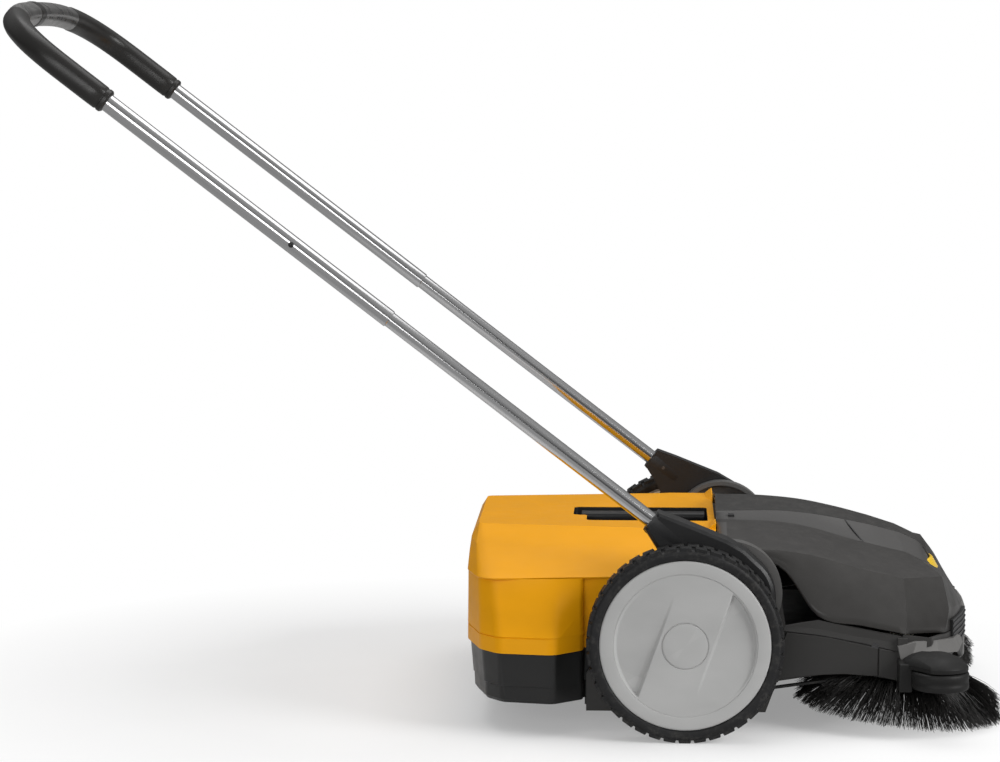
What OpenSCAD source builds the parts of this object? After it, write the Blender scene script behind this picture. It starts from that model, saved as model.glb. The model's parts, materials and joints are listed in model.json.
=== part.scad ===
// Push sweeper with two disc brushes and a sweeping roller, both driven by the wheels.
// X points forwards, Y to the left, Z up. The floor is Z = 0.

/* [Wheels] */
// Outer radius of the tyre over its lugs
tyre_r = 135; // [120:1:150]
// Width of the tyre
tyre_w = 45; // [35:1:55]
// Radius of the hub cap, where the tyre begins
cap_r = 118.5; // [105:0.5:125]
// Half of the width over both wheels
half_track = 380; // [370:1:400]
// Number of lugs on each edge of the tread
lug_count = 40; // [24:1:60]
// Radius of the axle
axle_r = 6; // [5:0.5:8]

/* [Body] */
// Outer face of the side plates, from the middle
plate_y = 300; // [298:1:302]
// Wall of the hood
hood_wall = 4; // [3:0.5:6]
// Height of the container's bottom
tray_z = 45; // [40:1:50]
// Height of the seam between shell and tray
seam_z = 115; // [100:1:125]
// Height of the container's top
top_z = 264; // [260:1:268]
// Wall of the container
box_wall = 3; // [2:0.5:4]

/* [Brushes] */
// Radius of a disc brush at its tips
disc_r = 152; // [130:1:160]
// Forward place of the disc brushes
disc_x = 300; // [295:1:310]
// Sideways place of each disc brush
disc_y = 205; // [200:1:210]
// Forward lean of the disc brushes, in degrees
disc_tilt = 5.5; // [3:0.5:7]
// Radius of the sweeping roller over its bristles
roller_r = 67.5; // [60:0.5:67.5]
// Height of the sweeping roller's axis
roller_z = 68; // [66:0.5:70]
// Radius of the guide wheels at the front corners
guide_r = 39; // [30:1:42]

/* [Handle] */
// Slope of the handle tubes, in degrees
tube_angle = 37.5; // [30:0.5:45]
// Sideways place of the handle tubes
tube_y = 319; // [315:1:320]
// Radius of the lower tubes
lower_r = 11; // [10:0.5:12]
// Radius of the upper tubes
upper_r = 12.5; // [12:0.5:14]
// Forward place of the handle's pivot
pivot_x = 61; // [55:1:70]
// Height of the handle's pivot
pivot_z = 194; // [185:1:200]
// How far the tubes run above the pivot
tube_rise = 17; // [10:1:20]
// Distance along the tubes from the pivot to the grip bow
bow_start = 1085; // [1000:5:1150]
// Distance along the tubes from the pivot to the middle of the crossbar
bow_end = 1280; // [1200:1:1300]

/* [Hidden] */
$fn = 64;
eps = 0.01;
RIGHT = -1;
LEFT = 1;

// The axle lies this far in front of the middle of the whole machine's length.
axle_x = 254.5;
axle_z = tyre_r;
bush_l = 31;

// Drive: a toothed ring in each wheel turns a pinion on the roller's shaft.
gear_module = 3;
ring_teeth = 72;
pinion_teeth = 12;
crown_teeth = 36;
ring_r = gear_module * ring_teeth / 2;
mesh_distance = gear_module * (ring_teeth - pinion_teeth) / 2;
roller_x = sqrt(pow(mesh_distance, 2) - pow(axle_z - roller_z, 2));
mesh_angle = atan2(roller_z - axle_z, roller_x);
gear_y = 337;
gear_w = 12;
pulley_r = 16;
pulley_y = 276;
pulley_w = 12;
belt_t = 3;
flange_t = 1.5;
shaft_r = 5;
sleeve_r = 9;
run_gap = 0.05;
inner_plate_y = 268;

// Disc brush heights along its own leaning axis
disc_z = disc_r * sin(disc_tilt) + 0.6;
plate_low = 56;
plate_top = 66;
crown_pitch_z = 72;
crown_r = gear_module * crown_teeth / 2;
pinion_r = gear_module * pinion_teeth / 2;
mesh_y = disc_y - crown_r;
counter_h = crown_pitch_z + pinion_r;
shaft_in_y = 134;
counter_x = disc_x + counter_h * sin(disc_tilt);
counter_z = disc_z + counter_h * cos(disc_tilt);
deck_z = 96;
deck_t = 3;
spindle_r = 6;

// Guide wheel and its bracket
guide_x = 348;
guide_y = 345;
guide_low = 73;
guide_top = 98;

// Handle
socket_s = [96, 150];
lower_end_s = 790;
upper_start_s = 601;
upper_end_s = 1130;
button_s = 769;
arm_in = 303;
arm_out = 330;
boss_r = 73;
boss_y = 276;
bolt_r = 8;

module place() translate([axle_x, 0, 0]) children();
module on_side(side) mirror([0, side < 0 ? 1 : 0, 0]) children();
module both() for (side = [RIGHT, LEFT]) on_side(side) children();
// A shape whose local Z axis runs along +Y, from y = from
module along_y(x, z, from) translate([x, from, z]) rotate([-90, 0, 0]) children();
// A flat XZ outline pulled out along +Y, from y = from, by t
module plate_xz(from, t) translate([0, from + t, 0]) rotate([90, 0, 0]) linear_extrude(t) children();
// The handle's own frame: local X along the tubes, local Z square to them, from the pivot
module handle_frame() translate([pivot_x, 0, pivot_z]) rotate([0, tube_angle - 180, 0])
    mirror([0, 0, 1]) children();
module tilt_disc() translate([disc_x, disc_y, disc_z]) rotate([0, disc_tilt, 0]) children();

// ---- Closed solids from grids of points ----
// rows: equal-length lists of points; the strips between rows wrap round, and both ends are capped.
// flip turns the faces over, for rows whose points run the other way round.
module loft(rows, flip = false) {
    n = len(rows[0]);
    m = len(rows);
    points = [for (row = rows) each row];
    sides = [for (i = [0 : m - 2], j = [0 : n - 1])
        let (k = (j + 1) % n)
        each [[i * n + j, i * n + k, (i + 1) * n + k], [i * n + j, (i + 1) * n + k, (i + 1) * n + j]]];
    low = [[for (j = [n - 1 : -1 : 0]) j]];
    high = [[for (j = [0 : n - 1]) (m - 1) * n + j]];
    faces = concat(low, sides, high);
    polyhedron(points, flip ? [for (f = faces) [for (i = [len(f) - 1 : -1 : 0]) f[i]]] : faces);
}
function mirrored(half) = concat(half, [for (i = [len(half) - 1 : -1 : 0]) [half[i][0], -half[i][1]]]);
function level(outline, z) = [for (p = outline) [p[0], p[1], z]];
// A box between two levels with a tapering outline
module between(low_half, low_z, high_half, high_z)
    loft([level(mirrored(low_half), low_z), level(mirrored(high_half), high_z)]);

// ---- Gears ----
pressure = 20;
function inv_deg(a) = tan(a) * 180 / PI - a;
function half_tooth(r, n, play) =
    let (rp = gear_module * n / 2, rb = rp * cos(pressure), a = acos(min(1, rb / max(r, rb))))
    90 / n - play / rp * 180 / PI + inv_deg(pressure) - inv_deg(a);
function gear_outline(n, root, tip, play) = [
    for (i = [0 : n - 1], side = [-1, 1], step = [0 : 2])
        let (r = side < 0 ? root + step * (tip - root) / 2 : tip - step * (tip - root) / 2,
            a = 360 * i / n + side * half_tooth(r, n, play))
        [r * cos(a), r * sin(a)]
];
module pinion_2d() polygon(gear_outline(pinion_teeth, pinion_r - 3.4, pinion_r + 2.6, 0.3));

// ---- Wheels ----
module tyre() color("#242424") {
    half = tyre_w / 2;
    lug_h = 3;
    // share of one lug's pitch at which it rises, and where it falls again
    lug_steps = [[0, 0], [0.06, 1], [0.5, 1], [0.56, 0]];
    along_y(0, axle_z, half_track - tyre_w) difference() {
        for (k = [0, 1]) translate([0, 0, k * half]) rotate([0, 0, k * 180 / lug_count])
            linear_extrude(half) polygon([for (i = [0 : lug_count - 1], e = lug_steps)
                let (r = tyre_r - lug_h + lug_h * e[1], a = 360 * (i + e[0]) / lug_count)
                [r * cos(a), r * sin(a)]]);
        translate([0, 0, -1]) cylinder(r = cap_r - 1, h = tyre_w + 2, $fn = 128);
    }
}
module wheel_rim() color("#8c8d8e") along_y(0, axle_z, half_track - tyre_w) difference() {
    union() {
        difference() {
            translate([0, 0, 2]) cylinder(r = cap_r - 1.2, h = tyre_w - 9, $fn = 128);
            translate([0, 0, -1]) cylinder(r = cap_r - 5, h = tyre_w + 2, $fn = 128);
        }
        translate([0, 0, 17]) cylinder(r = cap_r - 4, h = 4, $fn = 128);
        translate([0, 0, 2]) cylinder(r = 20, h = 34);
        for (i = [0 : 5]) rotate([0, 0, 60 * i]) translate([18, -2, 20]) cube([cap_r - 21, 4, 12]);
    }
    translate([0, 0, -1]) cylinder(r = 9, h = tyre_w + 2);
}
module wheel_bush() color("#c9b27a") along_y(0, axle_z, half_track - tyre_w + 2) difference() {
    cylinder(r = 9, h = bush_l);
    translate([0, 0, -1]) cylinder(r = axle_r + run_gap, h = bush_l + 2);
}
module ring_gear() color("#d8d6cc") along_y(0, axle_z, gear_y) difference() {
    cylinder(r = cap_r - 5, h = gear_w, $fn = 128);
    translate([0, 0, -1]) rotate([0, 0, -mesh_angle]) linear_extrude(gear_w + 2)
        polygon(gear_outline(ring_teeth, ring_r - 2.4, ring_r + 3.4, -0.3));
}
module hub_cap() color("#b4b5b6") along_y(0, axle_z, half_track - 7) difference() {
    union() {
        cylinder(r = cap_r - 1.2, h = 5, $fn = 128);
        translate([0, 0, 5]) cylinder(r1 = cap_r - 1.2, r2 = cap_r - 5, h = 1.5, $fn = 128);
    }
    translate([0, 0, 5.4]) difference() {
        cylinder(r = 98, h = 3, $fn = 128);
        translate([0, 0, -1]) cylinder(r = 96.5, h = 5, $fn = 128);
    }
    translate([0, 0, 5.4]) difference() {
        cylinder(r = 32, h = 3);
        translate([0, 0, -1]) cylinder(r = 31, h = 5);
    }
    translate([0, 0, -1]) cylinder(r = 22, h = 3);
}
module axle_shaft() color("silver") along_y(0, axle_z, -(half_track - 8)) difference() {
    length = 2 * (half_track - 8);
    cylinder(r = axle_r, h = length);
    for (z = [2, length - 3.2]) translate([0, 0, z]) difference() {
        cylinder(r = axle_r + 1, h = 1.2);
        translate([0, 0, -1]) cylinder(r = axle_r - 1, h = 4);
    }
}
module axle_clips() color("dimgray") both() along_y(0, axle_z, half_track - 11.1) difference() {
    cylinder(r = axle_r + 2.5, h = 1);
    translate([0, 0, -1]) cylinder(r = axle_r - 0.95, h = 3);
    translate([0, -2.5, -1]) cube([12, 5, 3]);
}

// ---- Drive ----
module pulley_flanges(x, z) for (y = [pulley_y - flange_t, pulley_y + pulley_w])
    along_y(x, z, y) cylinder(r = pulley_r + 4, h = flange_t);
module drive_pinion() color("#e4e2d8") difference() {
    union() {
        along_y(roller_x, roller_z, gear_y) rotate([0, 0, -mesh_angle]) linear_extrude(gear_w) pinion_2d();
        along_y(roller_x, roller_z, pulley_y - 2) cylinder(r = sleeve_r, h = gear_y - pulley_y + 3);
        along_y(roller_x, roller_z, pulley_y) cylinder(r = pulley_r, h = pulley_w);
        pulley_flanges(roller_x, roller_z);
    }
    along_y(roller_x, roller_z, 260) cylinder(r = shaft_r + run_gap, h = 100);
}
module drive_belt() color("#1c1c1c") {
    run = sqrt(pow(counter_x - roller_x, 2) + pow(counter_z - roller_z, 2));
    slope = atan2(counter_z - roller_z, counter_x - roller_x);
    belt_w = pulley_w - 3;
    inner_r = pulley_r + 0.3;
    translate([roller_x, pulley_y + flange_t + belt_w, roller_z]) rotate([0, -slope, 0]) rotate([90, 0, 0])
        linear_extrude(belt_w) difference() {
            belt_loop(run, inner_r + belt_t);
            belt_loop(run, inner_r);
        }
}
// Outline of a belt around two pulleys of one size, run apart
module belt_loop(run, r) union() {
    circle(r = r);
    translate([run, 0]) circle(r = r);
    translate([0, -r]) square([run, 2 * r]);
}
module countershaft() color("silver") along_y(counter_x, counter_z, shaft_in_y)
    cylinder(r = shaft_r, h = plate_y + 2 - shaft_in_y);
module counter_gear() color("#e4e2d8") difference() {
    union() {
        along_y(counter_x, counter_z, mesh_y - 3) rotate([0, 0, 90 + disc_tilt]) linear_extrude(6) pinion_2d();
        along_y(counter_x, counter_z, mesh_y + 2) cylinder(r = shaft_r + 3, h = pulley_y - mesh_y);
        along_y(counter_x, counter_z, pulley_y) cylinder(r = pulley_r, h = pulley_w);
        pulley_flanges(counter_x, counter_z);
    }
    along_y(counter_x, counter_z, 100) cylinder(r = shaft_r, h = 220);
}
// One straight tooth of the disc's crown ring, at zero degrees
module crown_tooth() translate([crown_r - 4, 0, crown_pitch_z]) rotate([90, 0, 90]) linear_extrude(8)
    polygon([[-3, -5], [3, -5], [1.9, 0], [1.0, 2.5], [-1.0, 2.5], [-1.9, 0]]);
module brush_plate() color("#3a3a3c") tilt_disc() difference() {
    union() {
        translate([0, 0, plate_low]) cylinder(r = 66, h = plate_top - plate_low - 2);
        translate([0, 0, plate_top - 2]) cylinder(r = 62, h = 2);
        translate([0, 0, plate_low - 10]) cylinder(r = 16, h = plate_top - plate_low + 14);
        translate([0, 0, plate_top - eps]) difference() {
            cylinder(r = crown_r + 4, h = 2.5);
            translate([0, 0, -1]) cylinder(r = crown_r - 4, h = 5);
        }
        rotate([0, 0, 5]) for (i = [0 : crown_teeth - 1]) rotate([0, 0, 360 / crown_teeth * i]) crown_tooth();
    }
    cylinder(r = spindle_r + run_gap, h = 200);
}
module disc_bristles() color("#141414") tilt_disc() rotate_extrude($fn = 96)
    polygon([[40, plate_low], [65, plate_low], [disc_r, 6],
        [disc_r, 0], [disc_r - 34, 0], [40, plate_low - 14]]);
module brush_spindles() color("silver") both() tilt_disc() union() {
    translate([0, 0, plate_low - 14]) cylinder(r = spindle_r, h = 38);
    translate([0, 0, plate_low - 15.9]) cylinder(r = 13, h = 4, $fn = 6);
}
module roller_shaft() color("silver") along_y(roller_x, roller_z, -351) cylinder(r = shaft_r, h = 702);
module roller_core() color("#4a4a4c") along_y(roller_x, roller_z, -262) difference() {
    cylinder(r = 26, h = 524);
    translate([0, 0, -1]) cylinder(r = shaft_r, h = 526);
}
module roller_bristles() color("#161616") along_y(roller_x, roller_z, -258) difference() {
    cylinder(r = roller_r, h = 516, $fn = 96);
    translate([0, 0, -1]) cylinder(r = 26, h = 518);
}
module shaft_bearings() color("#c9b27a") both() along_y(roller_x, roller_z, plate_y - 9) difference() {
    cylinder(r = 13, h = 12);
    translate([0, 0, -1]) cylinder(r = sleeve_r + run_gap, h = 14);
}

// ---- Guide wheels ----
module guide_wheel() color("#4c4b4b") translate([guide_x, guide_y, guide_low]) difference() {
    union() {
        translate([0, 0, 2]) cylinder(r = guide_r, h = guide_top - guide_low - 4);
        cylinder(r1 = guide_r - 2, r2 = guide_r, h = 2);
        translate([0, 0, guide_top - guide_low - 2]) cylinder(r1 = guide_r, r2 = guide_r - 2, h = 2);
    }
    translate([0, 0, -1]) cylinder(r = 4 + run_gap, h = 40);
}
module guide_pins() color("silver") both() translate([guide_x, guide_y, guide_low - 2.2]) union() {
    translate([0, 0, -3]) cylinder(r = 8, h = 3);
    translate([0, 0, -eps]) cylinder(r = 4, h = guide_top - guide_low + 5);
}
module roller_bracket() color("#2b2b2c") difference() {
    union() {
        hull() {
            translate([guide_x, guide_y, guide_top + 1.5]) cylinder(r = guide_r - 1, h = 6);
            translate([guide_x - 46, 309, guide_top + 1.5]) cube([26, 20, 10]);
            translate([guide_x - 6, 309, guide_top + 8]) cylinder(r = 8, h = 22);
        }
        translate([guide_x - 55, 309, 68]) cube([13, 38, 40]);
    }
    translate([guide_x, guide_y, 90]) cylinder(r = 4, h = 12.7);
    translate([guide_x, guide_y, 60]) cylinder(r = guide_r + 1.5, h = guide_top + 1.5 - 60);
}

// ---- Chassis ----
// Side plate outline, rear to front along the bottom and back along the top
side_outline = [
    [-136, 28], [112, 28], [128, 72], [185, 81], [219, 83], [249, 82], [290, 75], [306, 68],
    [306, 134], [245, 145], [184, 158], [139, 148], [132, 190], [60, 200], [-12, 214], [-60, 200],
    [-100, 140], [-136, 80]
];
// Outline of the inner plates, beside the roller
inner_outline = [[-14, 30], [112, 30], [130, 72], [130, 99], [100, 146], [20, 140], [8, 128], [-14, 110]];
// Nose outline seen from above, right half, from the side plate to the middle
nose_half = [[300, 300], [340, 292], [366, 222], [392, 130], [405, 60], [408, 0]];
nose_inner = [[300, 295], [336, 289.5], [361.5, 219.5], [387, 128], [400, 59], [403, 0]];
nose_top = [138, 133, 126, 118, 113, 111];
nose_low = [68, 74, 88, 88, 62, 62];
nose_n = len(nose_half);
function nose_row_at(i, side) =
    let (out = nose_half[i], inn = nose_inner[i])
    [[out[0], side * out[1], nose_low[i]], [inn[0], side * inn[1], nose_low[i]],
        [inn[0], side * inn[1], nose_top[i]], [out[0], side * out[1], nose_top[i]]];
module nose_wall() loft([for (k = [0 : 2 * nose_n - 2])
    k < nose_n ? nose_row_at(k, 1) : nose_row_at(2 * nose_n - 2 - k, -1)]);
module chassis_frame() color("#3d3c3c") difference() {
    union() {
        both() plate_xz(plate_y - 5, 5) polygon(side_outline);
        // inner plates beside the roller
        both() plate_xz(inner_plate_y, 3)
            polygon(inner_outline);
        // arched cover over the roller
        plate_xz(-inner_plate_y, 2 * inner_plate_y) intersection() {
            difference() {
                translate([roller_x, roller_z]) circle(r = 76, $fn = 96);
                translate([roller_x, roller_z]) circle(r = 72.5, $fn = 96);
            }
            translate([24, 68]) square([130, 90]);
        }
        // deck over the disc brushes
        translate([0, 0, deck_z]) linear_extrude(deck_t)
            polygon(mirrored(concat([[128, 296]], [for (p = nose_inner) [p[0] + 1, p[1] + 0.5]])));
        // front apron and its stiffening bar
        nose_wall();
        translate([352, -150, deck_z + deck_t - eps]) cube([8, 300, 12]);
        // spindle bosses under the deck
        both() tilt_disc() translate([0, 0, 73]) cylinder(r = 13, h = 9);
        // inner bearings of the countershafts
        both() translate([counter_x - 11, 134.5, deck_z + deck_t - eps]) cube([22, 6, 19]);
        // rear bar that holds the dirt flap, and the rails under the container
        translate([-19, -plate_y + 5 - eps, 36]) cube([5, 2 * plate_y - 10 + 2 * eps, 8]);
        both() translate([-138, 270, 36]) cube([124, 25 + eps, 8]);
        // floor of the corner that carries the guide wheel bracket
        both() translate([293, 290, 108]) cube([13, 17, 26]);
    }
    both() {
        along_y(0, axle_z, 200) cylinder(r = axle_r, h = 200);
        along_y(roller_x, roller_z, plate_y - 10) cylinder(r = 13, h = 20);
        along_y(roller_x, roller_z, inner_plate_y - 5) cylinder(r = sleeve_r + 2, h = 12);
        along_y(counter_x, counter_z, 120) cylinder(r = shaft_r + run_gap, h = 200);
        tilt_disc() cylinder(r = spindle_r, h = 120);
        // slots for the belt and for the crown pinion
        translate([118, inner_plate_y + 4, deck_z - 1]) cube([225, 24, deck_t + 2]);
        translate([counter_x - 26, disc_y - crown_r - 6, deck_z - 20]) cube([52, 12, 24]);
        translate([counter_x - 10, disc_y - crown_r, deck_z - 1]) cube([20, 130, deck_t + 2]);
        along_y(pivot_x, pivot_z, plate_y - 10) cylinder(r = boss_r + 0.3, h = 20);
    }
}
module pivot_bosses() color("#6f6e6e") both() along_y(pivot_x, pivot_z, boss_y) difference() {
    depth = plate_y - boss_y;
    cylinder(r = boss_r, h = depth, $fn = 96);
    translate([0, 0, -1]) cylinder(r = boss_r - 6, h = depth - 6, $fn = 96);
    translate([0, 0, -1]) cylinder(r = bolt_r, h = depth + 2);
}
module pivot_bolts() color("dimgray") both() union() {
    along_y(pivot_x, pivot_z, plate_y - 9) cylinder(r = bolt_r, h = arm_out - plate_y + 9.5);
    along_y(pivot_x, pivot_z, plate_y - 14) cylinder(r = 14, h = 6.9, $fn = 6);
    along_y(pivot_x, pivot_z, arm_out + 0.3) cylinder(r = 15, h = 3.2);
}
module dirt_flap() color("#1a1a1a") translate([-13.9, -266, 2]) cube([3, 532, 44]);
module hood_screws() color("dimgray") both() for (x = [160, 262]) translate([x, 0, 0])
    along_y(0, 122, plate_y + 0.1) cylinder(r = 5, h = 2);

// ---- Hood: longitudinal lines, each from the rear to the middle of the nose ----
// lower edge, shoulder crease, console crease, panel edge and crown
line_low = [[46, 256, 238], [130, 258, 224], [183, 297, 163], [245, 299, 150], [304, 299, 139],
    [364, 224, 127], [392, 130, 119], [405, 60, 114], [408, 0, 112]];
line_mid = [[46, 251, 243], [126, 252, 236], [178, 272, 204], [234, 274, 190], [306, 270, 172],
    [371, 206, 158], [393, 120, 148], [402, 56, 142], [405, 0, 139]];
line_shoulder = [[46, 245, 248], [121, 245, 246], [174, 244, 239], [222, 243, 226], [304, 236, 205],
    [362, 188, 201], [377, 105, 184], [380, 50, 173], [380, 0, 168]];
line_console = [[46, 118, 268], [130, 112, 264], [179, 110, 255], [228, 105, 243], [277, 95, 226],
    [313, 85, 210], [350, 68, 188], [362, 34, 186], [366, 0, 185]];
line_panel = [[46, 78, 275], [131, 68, 272], [180, 60, 268], [225, 50, 261], [270, 44, 251],
    [303, 36, 240], [335, 28, 226], [350, 20, 212], [357, 0, 199]];
line_crown = [[46, 0, 285], [92, 0, 287], [161, 0, 282], [220, 0, 270], [267, 0, 257],
    [303, 0, 244], [335, 0, 231], [350, 0, 221], [357, 0, 200]];
panel_t = 3;
panel_gap = 0.1;
nose_half_w = 2;
function drop(line, dz) = [for (p = line) [p[0], p[1], p[2] - dz]];
hood_lines = [line_low, line_mid, line_shoulder, line_console,
    drop(line_panel, panel_t), drop(line_crown, panel_t)];
top_line = len(hood_lines) - 1;
// A point of a line drawn in by the wall t: the first station moves forwards, those at the nose backwards
function inset(p, i, t) =
    [i == 0 ? p[0] + t : p[0] - (i > 4 ? t : 0), max(0, p[1] - t), p[2] - t];
// The lower edge of the inner surface lies a little outside of the outer one, so that the hood is open below.
function lowest(raw, t) = t == 0 ? raw[0] : raw[0] + 0.5 * (raw[0] - raw[1]);
function hood_rows(t) = [for (i = [0 : 7])
    let (raw = [for (line = hood_lines) t == 0 ? line[i] : inset(line[i], i, t)],
        low = lowest(raw, t),
        right = [for (k = [1 : top_line - 1]) [raw[k][0], -raw[k][1], raw[k][2]]],
        left = [for (k = [top_line - 1 : -1 : 1]) raw[k]])
    concat([[low[0], -low[1], low[2]]], right, [raw[top_line]], left, [low])];
// The last row lies on the middle plane, a few millimetres wide so that the solid stays closed.
function nose_row(t) =
    let (raw = [for (line = hood_lines) [line[8][0] - t, nose_half_w, line[8][2] - t]],
        low = lowest(raw, t),
        top = raw[top_line],
        left = [for (k = [top_line - 1 : -1 : 1])
            [raw[k][0], nose_half_w * (top_line - k) / top_line, raw[k][2]]])
    concat([[low[0], -nose_half_w, low[2]]],
        [for (k = [top_line - 2 : -1 : 0]) [left[k][0], -left[k][1], left[k][2]]],
        [[top[0], 0, top[2] + 0.5]], left, [low]);
module hood_body(t) loft(concat(hood_rows(t), [nose_row(t)]));
module hood_shell() color("#4a4949") difference() {
    hood_body(0);
    hood_body(hood_wall);
    trim_bar();
}
module hood_top_panel() color("#2f2f30") loft([for (i = [0 : 7])
    let (e = line_panel[i], c = line_crown[i], half = e[1], low = panel_t - panel_gap)
    [[e[0], -half, e[2] - low], [c[0], 0, c[2] - low], [e[0], half, e[2] - low],
        [e[0], half, e[2]], [c[0], 0, c[2]], [e[0], -half, e[2]]]], flip = true);
// Trim bar around the nose: the middle of its upper face, from the left to the right
trim_path = [[350, 68, 184], [363, 34, 180.5], [368.5, 0, 179], [363, -34, 180.5], [350, -68, 184]];
module trim_bar() loft([for (i = [len(trim_path) - 1 : -1 : 0])
    let (p = trim_path[i])
    [p + [5.5, 0, -7], p + [8.5, 0, -6], p + [3.5, 0, 6], p + [0.5, 0, 5]]]);
module nose_trim() color("#d9a514") trim_bar();

// ---- Container: left half outlines seen from above, from the rear to the front ----
tray_half = [[-298, 0], [-298, 230], [-279, 305], [-254, 334], [-180, 348],
    [-140, 310], [-139, 291], [-22, 291], [-22, 0]];
seam_half = [[-304, 0], [-304, 232], [-283, 310], [-257, 342], [-180, 354],
    [-142, 316], [-141, 292], [-22, 292], [-22, 0]];
waist_half = [[-303, 0], [-303, 238], [-285, 297], [-265, 309], [-180, 309],
    [-142, 302], [-141, 292], [-22, 292], [-22, 0]];
band_half = [[-304, 0], [-304, 240], [-286, 302], [-266, 315], [-104, 294],
    [-26, 291], [-20, 252], [44, 250], [44, 0]];
brim_half = [[-302, 0], [-302, 205], [-291, 262], [-279, 272], [-104, 268],
    [-26, 266], [-20, 250], [44, 246], [44, 0]];
cover_half = [[-294, 0], [-294, 126], [-291, 133], [-283, 137], [-104, 160],
    [-26, 172], [-20, 175], [44, 175], [44, 0]];
waist_z = 214;
brim_z = 253;
fore_z = 150;
fore_y = 250;
fore_from = -24;
fore_to = 44;
cup_from = -152;
cup_to = 34;
cup_low_y = -100;
cup_high_y = 28;
cup_depth = 33;
grip_from = -27;
grip_w = 28;
// Draws a half outline in by t; its rear, middle and front move by different amounts along X
function shrink(half, t) = [for (p = half)
    [p[0] < -143 ? p[0] + t : (p[0] > -30 ? p[0] - t : p[0] + t / 2), max(0, p[1] - t)]];
module box_lower(t, from) between(shrink(seam_half, t), from, shrink(waist_half, t), waist_z);
module box_band(t, top) between(shrink(band_half, t), waist_z, shrink(brim_half, t), top);
module box_fore(t) translate([fore_from - t, t - fore_y, fore_z + t])
    cube([fore_to - fore_from, 2 * (fore_y - t), waist_z - fore_z - t]);
module cup_block(gap, from, to) translate([cup_from - gap, cup_low_y - gap, from])
    cube([cup_to - cup_from + 2 * gap, cup_high_y - cup_low_y + 2 * gap, to - from]);
module container_shell() color("#dc9c1c") difference() {
    union() {
        box_lower(0, seam_z + 0.2);
        box_fore(0);
    }
    box_lower(box_wall, seam_z - 1);
    translate([0, 0, waist_z - 1]) linear_extrude(2) polygon(mirrored(shrink(waist_half, box_wall)));
    box_fore(box_wall);
    translate([fore_from - 10, box_wall - fore_y, waist_z - 1])
        cube([fore_to - fore_from + 10 - box_wall, 2 * (fore_y - box_wall), 2]);
    // mouth towards the roller
    translate([-30, -282, seam_z - 1]) cube([20, 564, fore_z - seam_z - 4]);
}
module container_cover() color("#e0a422") difference() {
    union() {
        box_band(0, brim_z);
        between(brim_half, brim_z - eps, cover_half, top_z);
    }
    box_band(box_wall, brim_z - box_wall);
    translate([0, 0, waist_z - 1]) linear_extrude(1 + eps) polygon(mirrored(shrink(band_half, box_wall)));
    between(shrink(brim_half, box_wall), brim_z - box_wall - eps,
        shrink(cover_half, box_wall), top_z - box_wall);
    cup_block(0.2, top_z - 8, top_z + 8);
}
module container_tray() color("#2b2a2a") difference() {
    between(tray_half, tray_z, tray_half, seam_z);
    between(shrink(tray_half, box_wall), tray_z + box_wall, shrink(tray_half, box_wall), seam_z + 1);
    translate([-40, -282, tray_z + box_wall + 5]) cube([30, 564, seam_z]);
}
// The cup hangs in the cover's opening, with its rim just below the cover's face.
module grip_cup() color("#1d1d1d") difference() {
    cup_block(0, top_z - cup_depth, top_z - 0.3);
    cup_block(-box_wall, top_z - cup_depth + box_wall, top_z + 1);
}
module carry_grip() color("#3a3a3a") translate([cup_from + box_wall, grip_from, top_z - 17])
    cube([cup_to - cup_from - 2 * box_wall, grip_w, 16.5]);

// ---- Handle ----
// The arm seen from the side, beside its round hub, in the handle's own frame
arm_outline = [[150, 3], [150, 33], [50, 62], [0, 63], [-20, -50], [20, -52], [70, -34], [118, -10]];
module tube(s0, s1, r, wall) translate([s0, tube_y, tube_rise]) rotate([0, 90, 0]) difference() {
    cylinder(r = r, h = s1 - s0);
    translate([0, 0, -1]) cylinder(r = r - wall, h = s1 - s0 + 2);
}
module button_hole(s, r) translate([s, tube_y, tube_rise]) rotate([-90, 0, 0]) cylinder(r = r, h = 30);
module handle_arm() color("#232324") handle_frame() difference() {
    union() {
        translate([0, arm_out, 0]) rotate([90, 0, 0]) linear_extrude(arm_out - arm_in) union() {
            circle(r = 63, $fn = 96);
            polygon(arm_outline);
        }
        translate([socket_s[0], tube_y, tube_rise]) rotate([0, 90, 0])
            cylinder(r = 16, h = socket_s[1] - socket_s[0]);
    }
    translate([socket_s[0] + 6, tube_y, tube_rise]) rotate([0, 90, 0]) cylinder(r = lower_r, h = 60);
    rotate([-90, 0, 0]) cylinder(r = bolt_r + run_gap, h = 400);
    translate([126, tube_y, tube_rise]) rotate([90, 0, 0]) cylinder(r = 2.5, h = 40);
}
module socket_screws() color("silver") handle_frame() for (side = [RIGHT, LEFT]) on_side(side) {
    translate([126, tube_y - lower_r - 0.2, tube_rise]) rotate([90, 0, 0]) cylinder(r = 2.5, h = 5.2);
}
module lower_tube() color("#b9bbbd") handle_frame() difference() {
    tube(socket_s[0] + 6.2, lower_end_s, lower_r, 1.4);
    button_hole(button_s, 3.6);
}
module upper_tube() color("#c4c6c8") handle_frame() difference() {
    tube(upper_start_s, upper_end_s, upper_r, upper_r - lower_r - 0.08);
    for (s = [button_s, button_s - 74]) button_hole(s, 3.6);
}
module snap_button() color("#101010") handle_frame()
    translate([button_s, tube_y + lower_r + 0.25, tube_rise]) rotate([-90, 0, 0]) union() {
        cylinder(r = 3.4, h = 3);
        translate([0, 0, 3 - eps]) cylinder(r1 = 3.4, r2 = 2, h = 1.2);
    }

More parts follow.
